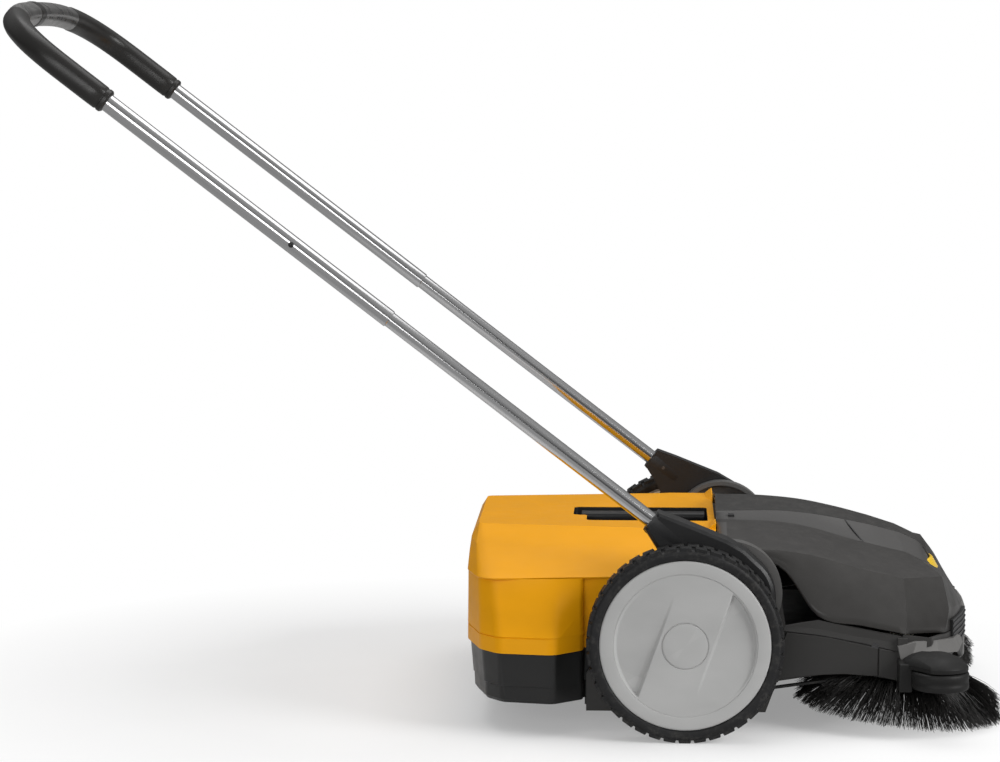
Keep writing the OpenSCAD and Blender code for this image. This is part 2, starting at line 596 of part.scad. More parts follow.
// Bow: a rounded U in the plane of the tubes. Its middle line is swept by a ring of bow_sides points.
bow_sides = 16;
corner_power = 3.2;
bow_bend_s = 1140;
bow_lift = 1;
bow_r = 17.5;
bow_wall = 3.5;
grip_r = 18;
grip_end_r = 16.5;
function bow_s(a) = bow_bend_s + (bow_end - bow_bend_s) * pow(max(0, cos(a)), 2 / corner_power);
function bow_y(a) = tube_y * sign(sin(a)) * pow(abs(sin(a)), 2 / corner_power);
function bow_n(s) = tube_rise + bow_lift * pow(max(0, (s - bow_bend_s) / (bow_end - bow_bend_s)), 3);
function bow_point(a) = [bow_s(a), bow_y(a), bow_n(bow_s(a))];
function unit(v) = v / norm(v);
function ring(p, dir, r) = let (side = unit([dir[1], -dir[0], 0]))
    [for (k = [0 : bow_sides - 1]) let (a = 360 * k / bow_sides) p + r * (side * cos(a) + [0, 0, sin(a)])];
function bow_ring(a, r) = ring(bow_point(a), bow_point(a + 1) - bow_point(a - 1), r);
cross_to = 30;
sweep_step = 4;
module handle_bow() color("#77787a") handle_frame() difference() {
    loft([for (a = [-cross_to : sweep_step : cross_to + 0.1]) bow_ring(a, bow_r)]);
    loft([for (a = [-cross_to - 1, for (b = [sweep_step - cross_to : sweep_step : cross_to - 3]) b, cross_to + 1])
        bow_ring(a, bow_r - bow_wall)]);
}
// Each grip is swept round a corner of the bow and on down the tube to its thinner end.
module handle_grips() color("#1f1f20") handle_frame() for (side = [RIGHT, LEFT]) on_side(side) difference() {
    loft(concat(
        [for (a = [cross_to + 0.4, for (b = [cross_to + sweep_step : sweep_step : 86]) b]) bow_ring(a, grip_r)],
        [for (e = [[bow_bend_s - 8, grip_r], [bow_start + 8, grip_r], [bow_start, grip_end_r]])
            ring([e[0], tube_y, tube_rise], [-1, 0, 0], e[1])]));
    translate([bow_start - 1, tube_y, tube_rise]) rotate([0, 90, 0])
        cylinder(r = upper_r, h = upper_end_s - bow_start + 1.3);
}

place() chassis_frame();
place() hood_shell();
place() hood_top_panel();
place() nose_trim();
place() axle_shaft();
place() axle_clips();
place() pivot_bosses();
place() pivot_bolts();
place() on_side(RIGHT) roller_bracket();  // roller_bracket_right
place() on_side(LEFT) roller_bracket();  // roller_bracket_left
place() guide_pins();
place() brush_spindles();
place() on_side(RIGHT) drive_belt();  // drive_belt_right
place() on_side(LEFT) drive_belt();  // drive_belt_left
place() dirt_flap();
place() hood_screws();
place() shaft_bearings();
place() container_shell();
place() container_cover();
place() container_tray();
place() grip_cup();
place() carry_grip();
place() on_side(RIGHT) tyre();  // tyre_right
place() on_side(LEFT) tyre();  // tyre_left
place() on_side(RIGHT) wheel_rim();  // wheel_rim_right
place() on_side(LEFT) wheel_rim();  // wheel_rim_left
place() on_side(RIGHT) hub_cap();  // hub_cap_right
place() on_side(LEFT) hub_cap();  // hub_cap_left
place() on_side(RIGHT) ring_gear();  // ring_gear_right
place() on_side(LEFT) ring_gear();  // ring_gear_left
place() on_side(RIGHT) wheel_bush();  // wheel_bush_right
place() on_side(LEFT) wheel_bush();  // wheel_bush_left
place() on_side(RIGHT) drive_pinion();  // drive_pinion_right
place() on_side(LEFT) drive_pinion();  // drive_pinion_left
place() roller_shaft();
place() roller_core();
place() roller_bristles();
place() on_side(RIGHT) countershaft();  // countershaft_right
place() on_side(LEFT) countershaft();  // countershaft_left
place() on_side(RIGHT) counter_gear();  // counter_gear_right
place() on_side(LEFT) counter_gear();  // counter_gear_left
place() on_side(RIGHT) brush_plate();  // brush_plate_right
place() on_side(LEFT) brush_plate();  // brush_plate_left
place() on_side(RIGHT) disc_bristles();  // disc_bristles_right
place() on_side(LEFT) disc_bristles();  // disc_bristles_left
place() on_side(RIGHT) guide_wheel();  // guide_wheel_right
place() on_side(LEFT) guide_wheel();  // guide_wheel_left
place() on_side(RIGHT) handle_arm();  // handle_arm_right
place() on_side(LEFT) handle_arm();  // handle_arm_left
place() on_side(RIGHT) lower_tube();  // lower_tube_right
place() on_side(LEFT) lower_tube();  // lower_tube_left
place() socket_screws();
place() on_side(RIGHT) upper_tube();  // upper_tube_right
place() on_side(LEFT) upper_tube();  // upper_tube_left
place() handle_bow();
place() handle_grips();
place() on_side(RIGHT) snap_button();  // snap_button_right
place() on_side(LEFT) snap_button();  // snap_button_left
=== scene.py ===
"""Looks of a push sweeper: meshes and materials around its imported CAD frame.

Lengths are in millimetres, measured from the point on the floor under the wheel axle. `place` turns them
into metres.
"""
import json
import math
import random

import bmesh
import bpy
from mathutils import Matrix, Vector


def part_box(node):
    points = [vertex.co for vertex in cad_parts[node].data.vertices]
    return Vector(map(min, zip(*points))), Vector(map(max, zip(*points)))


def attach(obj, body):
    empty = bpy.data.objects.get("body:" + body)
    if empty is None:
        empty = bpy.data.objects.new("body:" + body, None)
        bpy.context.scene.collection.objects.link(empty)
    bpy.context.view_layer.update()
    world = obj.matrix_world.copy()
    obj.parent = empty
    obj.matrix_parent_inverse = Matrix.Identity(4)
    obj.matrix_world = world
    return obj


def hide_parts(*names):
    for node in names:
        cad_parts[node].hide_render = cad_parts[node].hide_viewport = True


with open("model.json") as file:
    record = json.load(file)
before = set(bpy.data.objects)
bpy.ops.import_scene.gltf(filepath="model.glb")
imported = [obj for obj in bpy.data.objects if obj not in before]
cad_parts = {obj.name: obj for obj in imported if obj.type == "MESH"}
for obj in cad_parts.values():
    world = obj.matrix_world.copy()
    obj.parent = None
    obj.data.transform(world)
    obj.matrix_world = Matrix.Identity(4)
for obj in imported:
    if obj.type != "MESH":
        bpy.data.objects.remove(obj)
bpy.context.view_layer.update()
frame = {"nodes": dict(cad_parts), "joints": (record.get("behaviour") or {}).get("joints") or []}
JOINTS = {joint["name"]: joint for joint in frame["joints"]}
NODES = frame["nodes"]
MM = 0.001
AXLE = Vector(JOINTS["wheel_spin_left"]["pos_m"])
ORIGIN = Vector((AXLE.x, 0, 0))
AXLE_Z = AXLE.z / MM
RIGHT, LEFT = -1, 1
SIDES = {"right": RIGHT, "left": LEFT}


# ---------------------------------------------------------------- places taken from the frame
def joint_place(name):
    """The point of a joint, in millimetres from the point under the axle."""
    return (Vector(JOINTS[name]["pos_m"]) - ORIGIN) / MM


def node_box(node):
    """Lowest and highest corner of a CAD node, in millimetres from the point under the axle."""
    low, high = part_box(node)
    return (low - ORIGIN) / MM, (high - ORIGIN) / MM


TYRE_LOW, TYRE_HIGH = node_box("tyre_left")
TYRE_R = (TYRE_HIGH.z - TYRE_LOW.z) / 2
TRACK = TYRE_HIGH.y
TYRE_W = TYRE_HIGH.y - TYRE_LOW.y
CAP_R = (node_box("hub_cap_left")[1].z - node_box("hub_cap_left")[0].z) / 2
PIVOT = joint_place("handle_fold")
TUBE_DIR = Vector(JOINTS["handle_extend"]["axis"])
TUBE_UP = Vector((TUBE_DIR.z, 0, -TUBE_DIR.x))
TUBE_ANGLE = math.atan2(TUBE_DIR.z, -TUBE_DIR.x)
TUBE_Y = (node_box("lower_tube_left")[0].y + node_box("lower_tube_left")[1].y) / 2
TUBE_RISE = 17
ROLLER = joint_place("sweep_roller_spin")
DISC = joint_place("disc_brush_spin_left")
DISC_AXIS = Vector(JOINTS["disc_brush_spin_left"]["axis"])
DISC_TILT = math.atan2(DISC_AXIS.x, DISC_AXIS.z)
GUIDE = joint_place("guide_wheel_spin_left")
GUIDE_LOW, GUIDE_HIGH = node_box("guide_wheel_left")


def in_handle(s, y, n):
    """A point s along the tubes from the pivot, y to the left and n above the pivot's line."""
    return Vector((PIVOT.x, 0, PIVOT.z)) + TUBE_DIR * s + TUBE_UP * n + Vector((0, y, 0))


# ---------------------------------------------------------------- mesh helpers
def place(point):
    return Vector(point) * MM + ORIGIN


def mesh_object(name, verts, faces, material, body, slot, replaces=(), smooth=True):
    mesh = bpy.data.meshes.new(name)
    mesh.from_pydata([place(v) for v in verts], [], faces)
    mesh.validate()
    obj = bpy.data.objects.new(name, mesh)
    bpy.context.scene.collection.objects.link(obj)
    bm = bmesh.new()
    bm.from_mesh(mesh)
    bmesh.ops.remove_doubles(bm, verts=bm.verts, dist=1e-6)
    bmesh.ops.recalc_face_normals(bm, faces=bm.faces)
    bm.to_mesh(mesh)
    bm.free()
    if smooth:
        mesh.polygons.foreach_set("use_smooth", [True] * len(mesh.polygons))
        mesh.set_sharp_from_angle(angle=math.radians(38))
    materials = material if isinstance(material, (list, tuple)) else [material]
    for m in materials:
        mesh.materials.append(m)
    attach(obj, body)
    if replaces:
        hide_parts(*replaces)
    return obj


def bevel(obj, width, segments=3, angle=30):
    """Rounds the edges of obj that are sharper than angle."""
    mod = obj.modifiers.new("round", "BEVEL")
    mod.width = width * MM
    mod.segments = segments
    mod.limit_method = "ANGLE"
    mod.angle_limit = math.radians(angle)
    mod.harden_normals = True
    mod.use_clamp_overlap = True
    return obj


def thicken(obj, thickness, offset=-1):
    mod = obj.modifiers.new("wall", "SOLIDIFY")
    mod.thickness = thickness * MM
    mod.offset = offset
    return obj


def grid_faces(rows, columns, wrap=False):
    faces = []
    for i in range(rows - 1):
        for j in range(columns if wrap else columns - 1):
            k = (j + 1) % columns
            faces.append((i * columns + j, i * columns + k, (i + 1) * columns + k, (i + 1) * columns + j))
    return faces


def loft(rows, wrap=True, caps=True):
    """Vertices and faces of a skin over rows of points; with wrap, each row is a closed ring."""
    columns = len(rows[0])
    verts = [p for row in rows for p in row]
    faces = grid_faces(len(rows), columns, wrap)
    if caps:
        faces.append(tuple(range(columns))[::-1])
        last = (len(rows) - 1) * columns
        faces.append(tuple(range(last, last + columns)))
    return verts, faces


def join(*parts):
    """One list of vertices and one of faces from several."""
    verts, faces = [], []
    for v, f in parts:
        base = len(verts)
        verts += v
        faces += [tuple(i + base for i in face) for face in f]
    return verts, faces


def mirrored_y(part):
    verts, faces = part
    return [Vector((v[0], -v[1], v[2])) for v in verts], [tuple(reversed(f)) for f in faces]


def to_side(part, side):
    return part if side == LEFT else mirrored_y(part)


def side_object(base, name, part, *settings):
    """One of a pair of pieces, from the shape of the left one."""
    return mesh_object(base + "_" + name, *to_side(part, SIDES[name]), *settings)


def spline(points, steps):
    """Points of a smooth curve through points, with steps pieces between each pair."""
    points = [Vector(p) for p in points]
    first = points[0] * 2 - points[1]
    last = points[-1] * 2 - points[-2]
    p = [first] + points + [last]
    out = []
    for i in range(1, len(p) - 2):
        for k in range(steps):
            t = k / steps
            out.append(0.5 * (2 * p[i] + (p[i + 1] - p[i - 1]) * t
                              + (2 * p[i - 1] - 5 * p[i] + 4 * p[i + 1] - p[i + 2]) * t * t
                              + (3 * p[i] - p[i - 1] - 3 * p[i + 1] + p[i + 2]) * t ** 3))
    out.append(points[-1].copy())
    return out


def rounded(outline, steps=5):
    """A 2D outline of (x, y, radius) corners with each corner turned into a short curve."""
    out = []
    count = len(outline)
    for i, (x, y, r) in enumerate(outline):
        here = Vector((x, y))
        if r <= 0:
            out += [here.copy() for _ in range(steps + 1)]
            continue
        before = Vector(outline[i - 1][:2]) - here
        after = Vector(outline[(i + 1) % count][:2]) - here
        a = here + before.normalized() * min(r, before.length * 0.48)
        b = here + after.normalized() * min(r, after.length * 0.48)
        for k in range(steps + 1):
            t = k / steps
            out.append(a * (1 - t) ** 2 + here * 2 * t * (1 - t) + b * t * t)
    return out


def revolve(profile, count, centre, axis, start=0.0, end=2 * math.pi):
    """A turned skin: profile is (radius, height along axis) pairs."""
    axis = Vector(axis).normalized()
    across = axis.orthogonal().normalized()
    third = axis.cross(across)
    full = abs(end - start - 2 * math.pi) < 1e-6
    rows = []
    for i in range(count if full else count + 1):
        a = start + (end - start) * i / count
        out = across * math.cos(a) + third * math.sin(a)
        rows.append([Vector(centre) + out * r + axis * h for r, h in profile])
    if full:
        rows.append(rows[0])
    return [p for row in rows for p in row], grid_faces(len(rows), len(profile))


def block(x0, x1, y0, y1, z0, z1):
    corners = [(x, y, z) for z in (z0, z1) for x, y in ((x0, y0), (x1, y0), (x1, y1), (x0, y1))]
    faces = [(3, 2, 1, 0), (4, 5, 6, 7), (0, 1, 5, 4), (1, 2, 6, 5), (2, 3, 7, 6), (3, 0, 4, 7)]
    return [Vector(c) for c in corners], faces


def prism_xz(outline, y0, y1):
    """An outline of (x, z) points pulled from y0 to y1."""
    rows = [[Vector((p[0], y, p[1])) for p in outline] for y in (y0, y1)]
    return loft(rows)


# ---------------------------------------------------------------- materials
class Shader:
    """A node tree with a Principled shader, and short calls that add to it."""

    def __init__(self, name, **inputs):
        self.material = bpy.data.materials.new(name)
        self.material.use_nodes = True
        self.tree = self.material.node_tree
        self.bsdf = self.tree.nodes["Principled BSDF"]
        self.coords = self.tree.nodes.new("ShaderNodeTexCoord").outputs["Object"]
        for key, value in inputs.items():
            self.set(key.replace("_", " "), value)

    def set(self, socket, value):
        self.bsdf.inputs[socket].default_value = (*value, 1) if isinstance(value, tuple) else value

    def node(self, kind, **settings):
        made = self.tree.nodes.new(kind)
        for key, value in settings.items():
            setattr(made, key, value)
        return made

    def link(self, source, target):
        self.tree.links.new(source, target)

    def noise(self, scale, detail=4.0, rough=0.55, stretch=None, turn=None, distortion=0.0):
        made = self.node("ShaderNodeTexNoise")
        made.inputs["Scale"].default_value = scale
        made.inputs["Detail"].default_value = detail
        made.inputs["Roughness"].default_value = rough
        made.inputs["Distortion"].default_value = distortion
        source = self.coords
        if turn is not None:
            spin = self.node("ShaderNodeMapping")
            spin.inputs["Rotation"].default_value = turn
            self.link(source, spin.inputs["Vector"])
            source = spin.outputs["Vector"]
        if stretch is not None:
            size = self.node("ShaderNodeMapping")
            size.inputs["Scale"].default_value = stretch
            self.link(source, size.inputs["Vector"])
            source = size.outputs["Vector"]
        self.link(source, made.inputs["Vector"])
        return made.outputs["Fac"]

    def spread(self, source, low, high, from_low=0.3, from_high=0.7):
        made = self.node("ShaderNodeMapRange")
        made.inputs["From Min"].default_value = from_low
        made.inputs["From Max"].default_value = from_high
        made.inputs["To Min"].default_value = low
        made.inputs["To Max"].default_value = high
        self.link(source, made.inputs["Value"])
        return made.outputs["Result"]

    def blend(self, factor, low, high):
        made = self.node("ShaderNodeMix", data_type="RGBA")
        self.link(factor, made.inputs["Factor"])
        for socket, value in ((made.inputs[6], low), (made.inputs[7], high)):
            if isinstance(value, tuple):
                socket.default_value = (*value, 1)
            else:
                self.link(value, socket)
        return made.outputs[2]

    def maths(self, operation, a, b=0.5):
        made = self.node("ShaderNodeMath", operation=operation)
        for socket, value in zip(made.inputs, (a, b)):
            if isinstance(value, (int, float)):
                socket.default_value = value
            else:
                self.link(value, socket)
        return made.outputs[0]

    def bumps(self, *layers):
        """Layers of (height, strength, distance in millimetres), one on the other."""
        normal = None
        for height, strength, distance in layers:
            made = self.node("ShaderNodeBump")
            made.inputs["Strength"].default_value = strength
            made.inputs["Distance"].default_value = distance * MM
            self.link(height, made.inputs["Height"])
            if normal is not None:
                self.link(normal, made.inputs["Normal"])
            normal = made.outputs["Normal"]
        self.link(normal, self.bsdf.inputs["Normal"])

    def colour(self, source):
        self.link(source, self.bsdf.inputs["Base Color"])

    def roughness(self, source):
        self.link(source, self.bsdf.inputs["Roughness"])

    def facing_up(self, low=0.5, high=0.98):
        """1 on faces that look straight up, 0 on steep ones."""
        geometry = self.node("ShaderNodeNewGeometry")
        split = self.node("ShaderNodeSeparateXYZ")
        self.link(geometry.outputs["Normal"], split.inputs[0])
        return self.spread(split.outputs["Z"], 0.0, 1.0, low, high)

    def worn_edge(self, low=0.52, high=0.6):
        geometry = self.node("ShaderNodeNewGeometry")
        return self.spread(geometry.outputs["Pointiness"], 0.0, 1.0, low, high)


def shade(colour, factor):
    return tuple(min(1.0, c * factor) for c in colour)


def moulded(name, colour, roughness, grain=0.12, grain_scale=1500, dust=0.0, edge=1.25, specular=0.3):
    """Moulded plastic: fine grain, faint flow marks, paler rubbed edges and a trace of dust."""
    s = Shader(name, Specular_IOR_Level=specular)
    flow = s.noise(7, 3, stretch=(1, 0.5, 2.2))
    base = s.blend(s.spread(flow, 0, 1), shade(colour, 0.94), shade(colour, 1.05))
    base = s.blend(s.maths("MULTIPLY", s.worn_edge(), 0.5), base, shade(colour, edge))
    if dust:
        speckle = s.spread(s.noise(60, 6, 0.7), 0, dust, 0.45, 0.75)
        base = s.blend(s.maths("MULTIPLY", speckle, s.facing_up()), base, (0.55, 0.52, 0.48))
    s.colour(base)
    s.roughness(s.spread(s.noise(40, 5, 0.65), roughness - 0.05, roughness + 0.08))
    s.bumps((s.noise(grain_scale, 2), grain, 0.15), (s.noise(18, 2), 0.05, 1.5))
    return s.material


def rubber(name, colour, roughness, dust=0.25):
    s = Shader(name, Specular_IOR_Level=0.25)
    patch = s.noise(22, 6, 0.65)
    base = s.blend(s.spread(patch, 0, 1), shade(colour, 0.8), shade(colour, 1.5))
    s.colour(s.blend(s.spread(s.noise(90, 8, 0.75), 0, dust, 0.5, 0.8), base, (0.2, 0.19, 0.17)))
    s.roughness(s.spread(s.noise(35, 5), roughness - 0.08, roughness + 0.1))
    s.bumps((s.noise(700, 4), 0.25, 0.25), (s.noise(60, 3), 0.1, 0.8))
    return s.material


def tube_metal(name):
    """Drawn aluminium: long faint streaks along the tubes."""
    s = Shader(name, Metallic=1.0)
    along = (0, -TUBE_ANGLE, 0)
    streak = s.noise(260, 2, 0.5, stretch=(0.012, 1, 1), turn=along)
    smudge = s.noise(9, 3, 0.5, stretch=(0.6, 1, 1), turn=along)
    s.colour(s.blend(s.spread(streak, 0, 1), (0.50, 0.50, 0.505), (0.60, 0.60, 0.605)))
    s.roughness(s.maths("ADD", s.spread(streak, 0.11, 0.14), s.spread(smudge, 0.0, 0.03)))
    return s.material


def steel(name, colour, roughness=0.35, metallic=1.0):
    s = Shader(name, Metallic=metallic)
    turned = s.noise(300, 3, 0.6, stretch=(1, 0.05, 1))
    s.colour(s.blend(s.spread(turned, 0, 1), shade(colour, 0.85), shade(colour, 1.1)))
    s.roughness(s.spread(s.noise(60, 5), roughness - 0.08, roughness + 0.12))
    s.bumps((turned, 0.15, 0.08))
    return s.material


def bristle_stuff(name):
    """Black nylon filament, a little browner and paler in places."""
    s = Shader(name, Specular_IOR_Level=0.45)
    s.colour(s.blend(s.spread(s.noise(420, 2), 0, 1), (0.004, 0.004, 0.004), (0.034, 0.032, 0.030)))
    s.roughness(s.spread(s.noise(150, 2), 0.35, 0.6))
    s.bumps((s.noise(2500, 1), 0.2, 0.05))
    return s.material


def studio_floor(name):
    """Pale floor that turns to plain white away from the machine, as the backdrop is."""
    s = Shader(name, Roughness=0.8)
    s.colour(s.blend(s.spread(s.noise(2.5, 3), 0, 1), (0.88, 0.88, 0.88), (0.91, 0.91, 0.91)))
    distance = s.node("ShaderNodeVectorMath", operation="LENGTH")
    s.link(s.coords, distance.inputs[0])
    glow = s.node("ShaderNodeEmission")
    seen = s.node("ShaderNodeLightPath").outputs["Is Camera Ray"]
    s.link(s.spread(seen, 0.4, 1.0, 0.0, 1.0), glow.inputs["Strength"])
    mix = s.node("ShaderNodeMixShader")
    s.link(s.spread(distance.outputs["Value"], 0.3, 1.0, 0.5, 0.95), mix.inputs[0])
    s.link(s.bsdf.outputs[0], mix.inputs[1])
    s.link(glow.outputs[0], mix.inputs[2])
    s.link(mix.outputs[0], s.tree.nodes["Material Output"].inputs["Surface"])
    return s.material


YELLOW = moulded("yellow_plastic", (0.80, 0.345, 0.003), 0.4, grain=0.08, edge=1.15, dust=0.01,
                 specular=0.12)
TRIM_YELLOW = moulded("trim_yellow", (0.80, 0.52, 0.03), 0.28, grain=0.03)
HOOD_GREY = moulded("hood_grey", (0.030, 0.0285, 0.027), 0.36, grain=0.07, edge=1.8, dust=0.03,
                    specular=0.3)
# A paler copy of the hood's own grey plastic: painted sheen standing in for the glossy highlight along the
# console strip.
HOOD_GREY_PAINTED_SHEEN = moulded("hood_grey_painted_sheen", (0.060, 0.0585, 0.057), 0.34, grain=0.05, specular=0.35)
PANEL_DARK = moulded("panel_dark", (0.036, 0.035, 0.034), 0.5, grain=0.16, edge=1.6, dust=0.04,
                     specular=0.15)
CHASSIS_GREY = moulded("chassis_grey", (0.027, 0.026, 0.025), 0.5, grain=0.16, edge=1.6, dust=0.06)
FACET_GREY = moulded("facet_grey", (0.13, 0.127, 0.123), 0.4, grain=0.08)
BOSS_GREY = moulded("boss_grey", (0.085, 0.083, 0.081), 0.38, grain=0.1)
BLACK = moulded("black_plastic", (0.011, 0.011, 0.0115), 0.38, grain=0.12, edge=2.4, dust=0.03)
DARK_CAP = moulded("dark_cap", (0.012, 0.0118, 0.0115), 0.5, grain=0.08, edge=1.8, specular=0.2)
TRAY_BLACK = moulded("tray_black", (0.013, 0.013, 0.013), 0.34, grain=0.14, edge=2.2, dust=0.04)
HUB_GREY = moulded("hub_grey", (0.41, 0.41, 0.405), 0.40, grain=0.06, edge=1.1, dust=0.02)
RIM_GREY = moulded("rim_grey", (0.22, 0.22, 0.22), 0.5, grain=0.12)
NYLON = moulded("gear_nylon", (0.66, 0.64, 0.55), 0.4, grain=0.05)
TYRE = rubber("tyre_rubber", (0.010, 0.010, 0.0105), 0.55)
SOFT_GRIP = moulded("grip_rubber", (0.022, 0.021, 0.020), 0.30, grain=0.05, edge=2.0)
FLAP = rubber("flap_rubber", (0.02, 0.02, 0.02), 0.7)
ALUMINIUM = tube_metal("tube_aluminium")
BOW_GREY = steel("bow_grey", (0.36, 0.355, 0.35), 0.3)
STEEL = steel("shaft_steel", (0.55, 0.55, 0.56))
SCREW = steel("screw_steel", (0.10, 0.10, 0.105), 0.4)
BRONZE = steel("bush_bronze", (0.55, 0.36, 0.14), 0.4)
BRISTLE = bristle_stuff("bristle_nylon")

CAD_LOOKS = {
    "chassis_frame": CHASSIS_GREY, "axle_shaft": STEEL, "axle_clips": SCREW,
    "pivot_bolts": SCREW, "guide_pins": STEEL,
    "brush_spindles": STEEL, "drive_belt": FLAP, "dirt_flap": FLAP,
    "hood_screws": SCREW, "shaft_bearings": BRONZE,
    "wheel_rim": RIM_GREY, "ring_gear": NYLON, "wheel_bush": BRONZE,
    "drive_pinion": NYLON, "roller_shaft": STEEL,
    "roller_core": BLACK, "countershaft": STEEL, "counter_gear": NYLON,
    "brush_plate": BLACK, "socket_screws": SCREW,
    "lower_tube": ALUMINIUM, "upper_tube": ALUMINIUM, "pivot_bosses": BOSS_GREY,
}


def dress_cad_nodes():
    for name, obj in NODES.items():
        base = name.removesuffix("_right").removesuffix("_left")
        look = CAD_LOOKS.get(name) or CAD_LOOKS.get(base)
        if look:
            obj.data.materials.clear()
            obj.data.materials.append(look)


# ---------------------------------------------------------------- wheels
def tyre_mesh(centre, out):
    """The tyre's carcass, turned round the axle; its lugs are built in lugs_mesh. out is +Y for the left
    wheel.
    """
    inner = out * (TRACK - TYRE_W) * Vector((0, 1, 0)) + centre
    carcass_r = TYRE_R - 3.2
    bead_r = CAP_R - 0.4
    shoulder = 7
    profile = [(bead_r, 1.5)]
    profile += [(carcass_r - shoulder + shoulder * math.sin(a), shoulder - shoulder * math.cos(a))
                for a in (math.radians(15 * k) for k in range(7))]
    profile += [(carcass_r - shoulder + shoulder * math.cos(a), TYRE_W - shoulder + shoulder * math.sin(a))
                for a in (math.radians(15 * k) for k in range(7))]
    profile += [(bead_r + 3, TYRE_W - 0.4), (bead_r + 1.2, TYRE_W - 1.2), (bead_r, TYRE_W - 3),
                (bead_r, 1.5)]
    return revolve(profile, 160, inner, (0, out, 0))


LUGS_PER_EDGE = 40
LUG_H = 3.0


def lugs_mesh(centre, out):
    """Two rows of broad, low lugs with narrow gaps, one row half a lug ahead of the other."""
    parts = []
    pitch = 2 * math.pi / LUGS_PER_EDGE
    for row, (low, high) in enumerate(((2.5, TYRE_W * 0.48), (TYRE_W * 0.52, TYRE_W - 2.5))):
        for i in range(LUGS_PER_EDGE):
            start = pitch * (i + row * 0.5)
            ring = []
            for y in (low, high):
                for share, r in ((0.05, -LUG_H - 3), (0.95, -LUG_H - 3), (0.87, 0), (0.13, 0)):
                    a = start + pitch * share
                    ring.append(centre + Vector(((TYRE_R + r) * math.cos(a), out * (TRACK - TYRE_W + y),
                                                 (TYRE_R + r) * math.sin(a))))
            parts.append((ring, [(0, 1, 2, 3), (7, 6, 5, 4), (0, 4, 5, 1), (1, 5, 6, 2), (2, 6, 7, 3),
                                 (3, 7, 4, 0)]))
    return join(*parts)


def smooth_step(x):
    x = max(0.0, min(1.0, x))
    return x * x * (3 - 2 * x)


def hub_cap_mesh(centre, out):
    """The cap's face: a rim, a slanting band, two sunken crescents that fade out, and a flat centre."""
    face_y = TRACK - 0.5
    step_r = 97.5
    band, wall = 35.5, 4.2
    lean = math.radians(19.5)
    depth, fade = 8.5, -60.0
    top = math.sqrt(step_r ** 2 - band ** 2)
    spokes, rings = 480, 92

    def sunk(r, a):
        across, along = r * math.cos(a), r * math.sin(a)
        turned = math.copysign(1, across)
        deep = depth * max(0.0, min(1.0, (turned * along - fade) / (top - fade)))
        return deep * smooth_step((abs(across) - band) / wall) * smooth_step((step_r - r) / wall)

    def at(r, a, y):
        b = a - lean
        return centre + Vector((r * math.cos(b), out * y, r * math.sin(b)))

    rows = []
    for i in range(spokes):
        a = 2 * math.pi * i / spokes
        row = [at(r, a, face_y + up) for r, up in ((0.1, 0.4), (16, 0.4), (29.3, 0.3), (30.4, 0.1),
                (30.9, -1.4),
                                                     (31.9, -1.5), (32.4, -0.6), (33.2, -0.5))]
        for k in range(1, rings + 1):
            r = 33.2 + (step_r - 33.2) * k / rings
            row.append(at(r, a, face_y - 0.5 - sunk(r, a)))
        row += [at(r, a, face_y + up) for r, up in ((step_r + 0.3, -0.9), (step_r + 0.9, -0.9),
                (step_r + 1.5, -0.1),
                                                     (step_r + 2.4, 0), (CAP_R - 3.2, 0), (CAP_R - 1.6,
                                                             -0.5),
                                                     (CAP_R - 0.6, -1.6), (CAP_R - 0.3,
                                                             -3.2), (CAP_R - 0.3, -6.5),
                                                     (CAP_R - 6, -6.6), (step_r, -7.4), (0.1, -7.4))]
        rows.append(row)
    rows.append(rows[0])
    return [p for row in rows for p in row], grid_faces(len(rows), len(rows[0]))


def build_wheels():
    for name, side in SIDES.items():
        centre = Vector((0, 0, AXLE_Z))
        body = "wheel_" + name
        mesh_object("tyre_carcass_" + name, *tyre_mesh(centre, side), TYRE, body, "tyre_rubber",
                    ["tyre_" + name])
        lugs = mesh_object("tyre_lugs_" + name, *lugs_mesh(centre, side), TYRE, body, "tyre_rubber",
                           smooth=False)
        bevel(lugs, 0.9, 2)
        mesh_object("hub_face_" + name, *hub_cap_mesh(centre, side), HUB_GREY, body, "hub_grey",
                    ["hub_cap_" + name])


# ---------------------------------------------------------------- brushes
def strand(path, radius, tip=0.35, sides=3):
    """A thin tapering filament along path."""
    rows = []
    for i, p in enumerate(path):
        ahead = path[min(i + 1, len(path) - 1)] - path[max(i - 1, 0)]
        u = ahead.orthogonal().normalized()
        v = ahead.cross(u).normalized()
        r = radius * (1 - (1 - tip) * i / (len(path) - 1))
        rows.append([p + (u * math.cos(a) + v * math.sin(a)) * r
                     for a in (2 * math.pi * k / sides for k in range(sides))])
    return loft(rows)


DISC_ROOT_Z = 54
MOST_REACH = 147.5
STRAND_PIECES = 4
# rings of tufts: root radius, reach of the tips, strands in a tuft, lowest and highest tip, highest arch,
# rise at the rear
TUFT_RINGS = ((63, 148, 24, 0.3, 6, 7, 0), (60, 147, 16, 4, 17, 9, 4), (65, 147, 18, 10, 30, 12, 20),
              (66, 144, 12, 22, 36, 12, 22),
              (56, 141, 12, 0.3, 4, 7, 0), (48, 127, 8, 0.3, 3, 7, 0))
TUFTS = 54


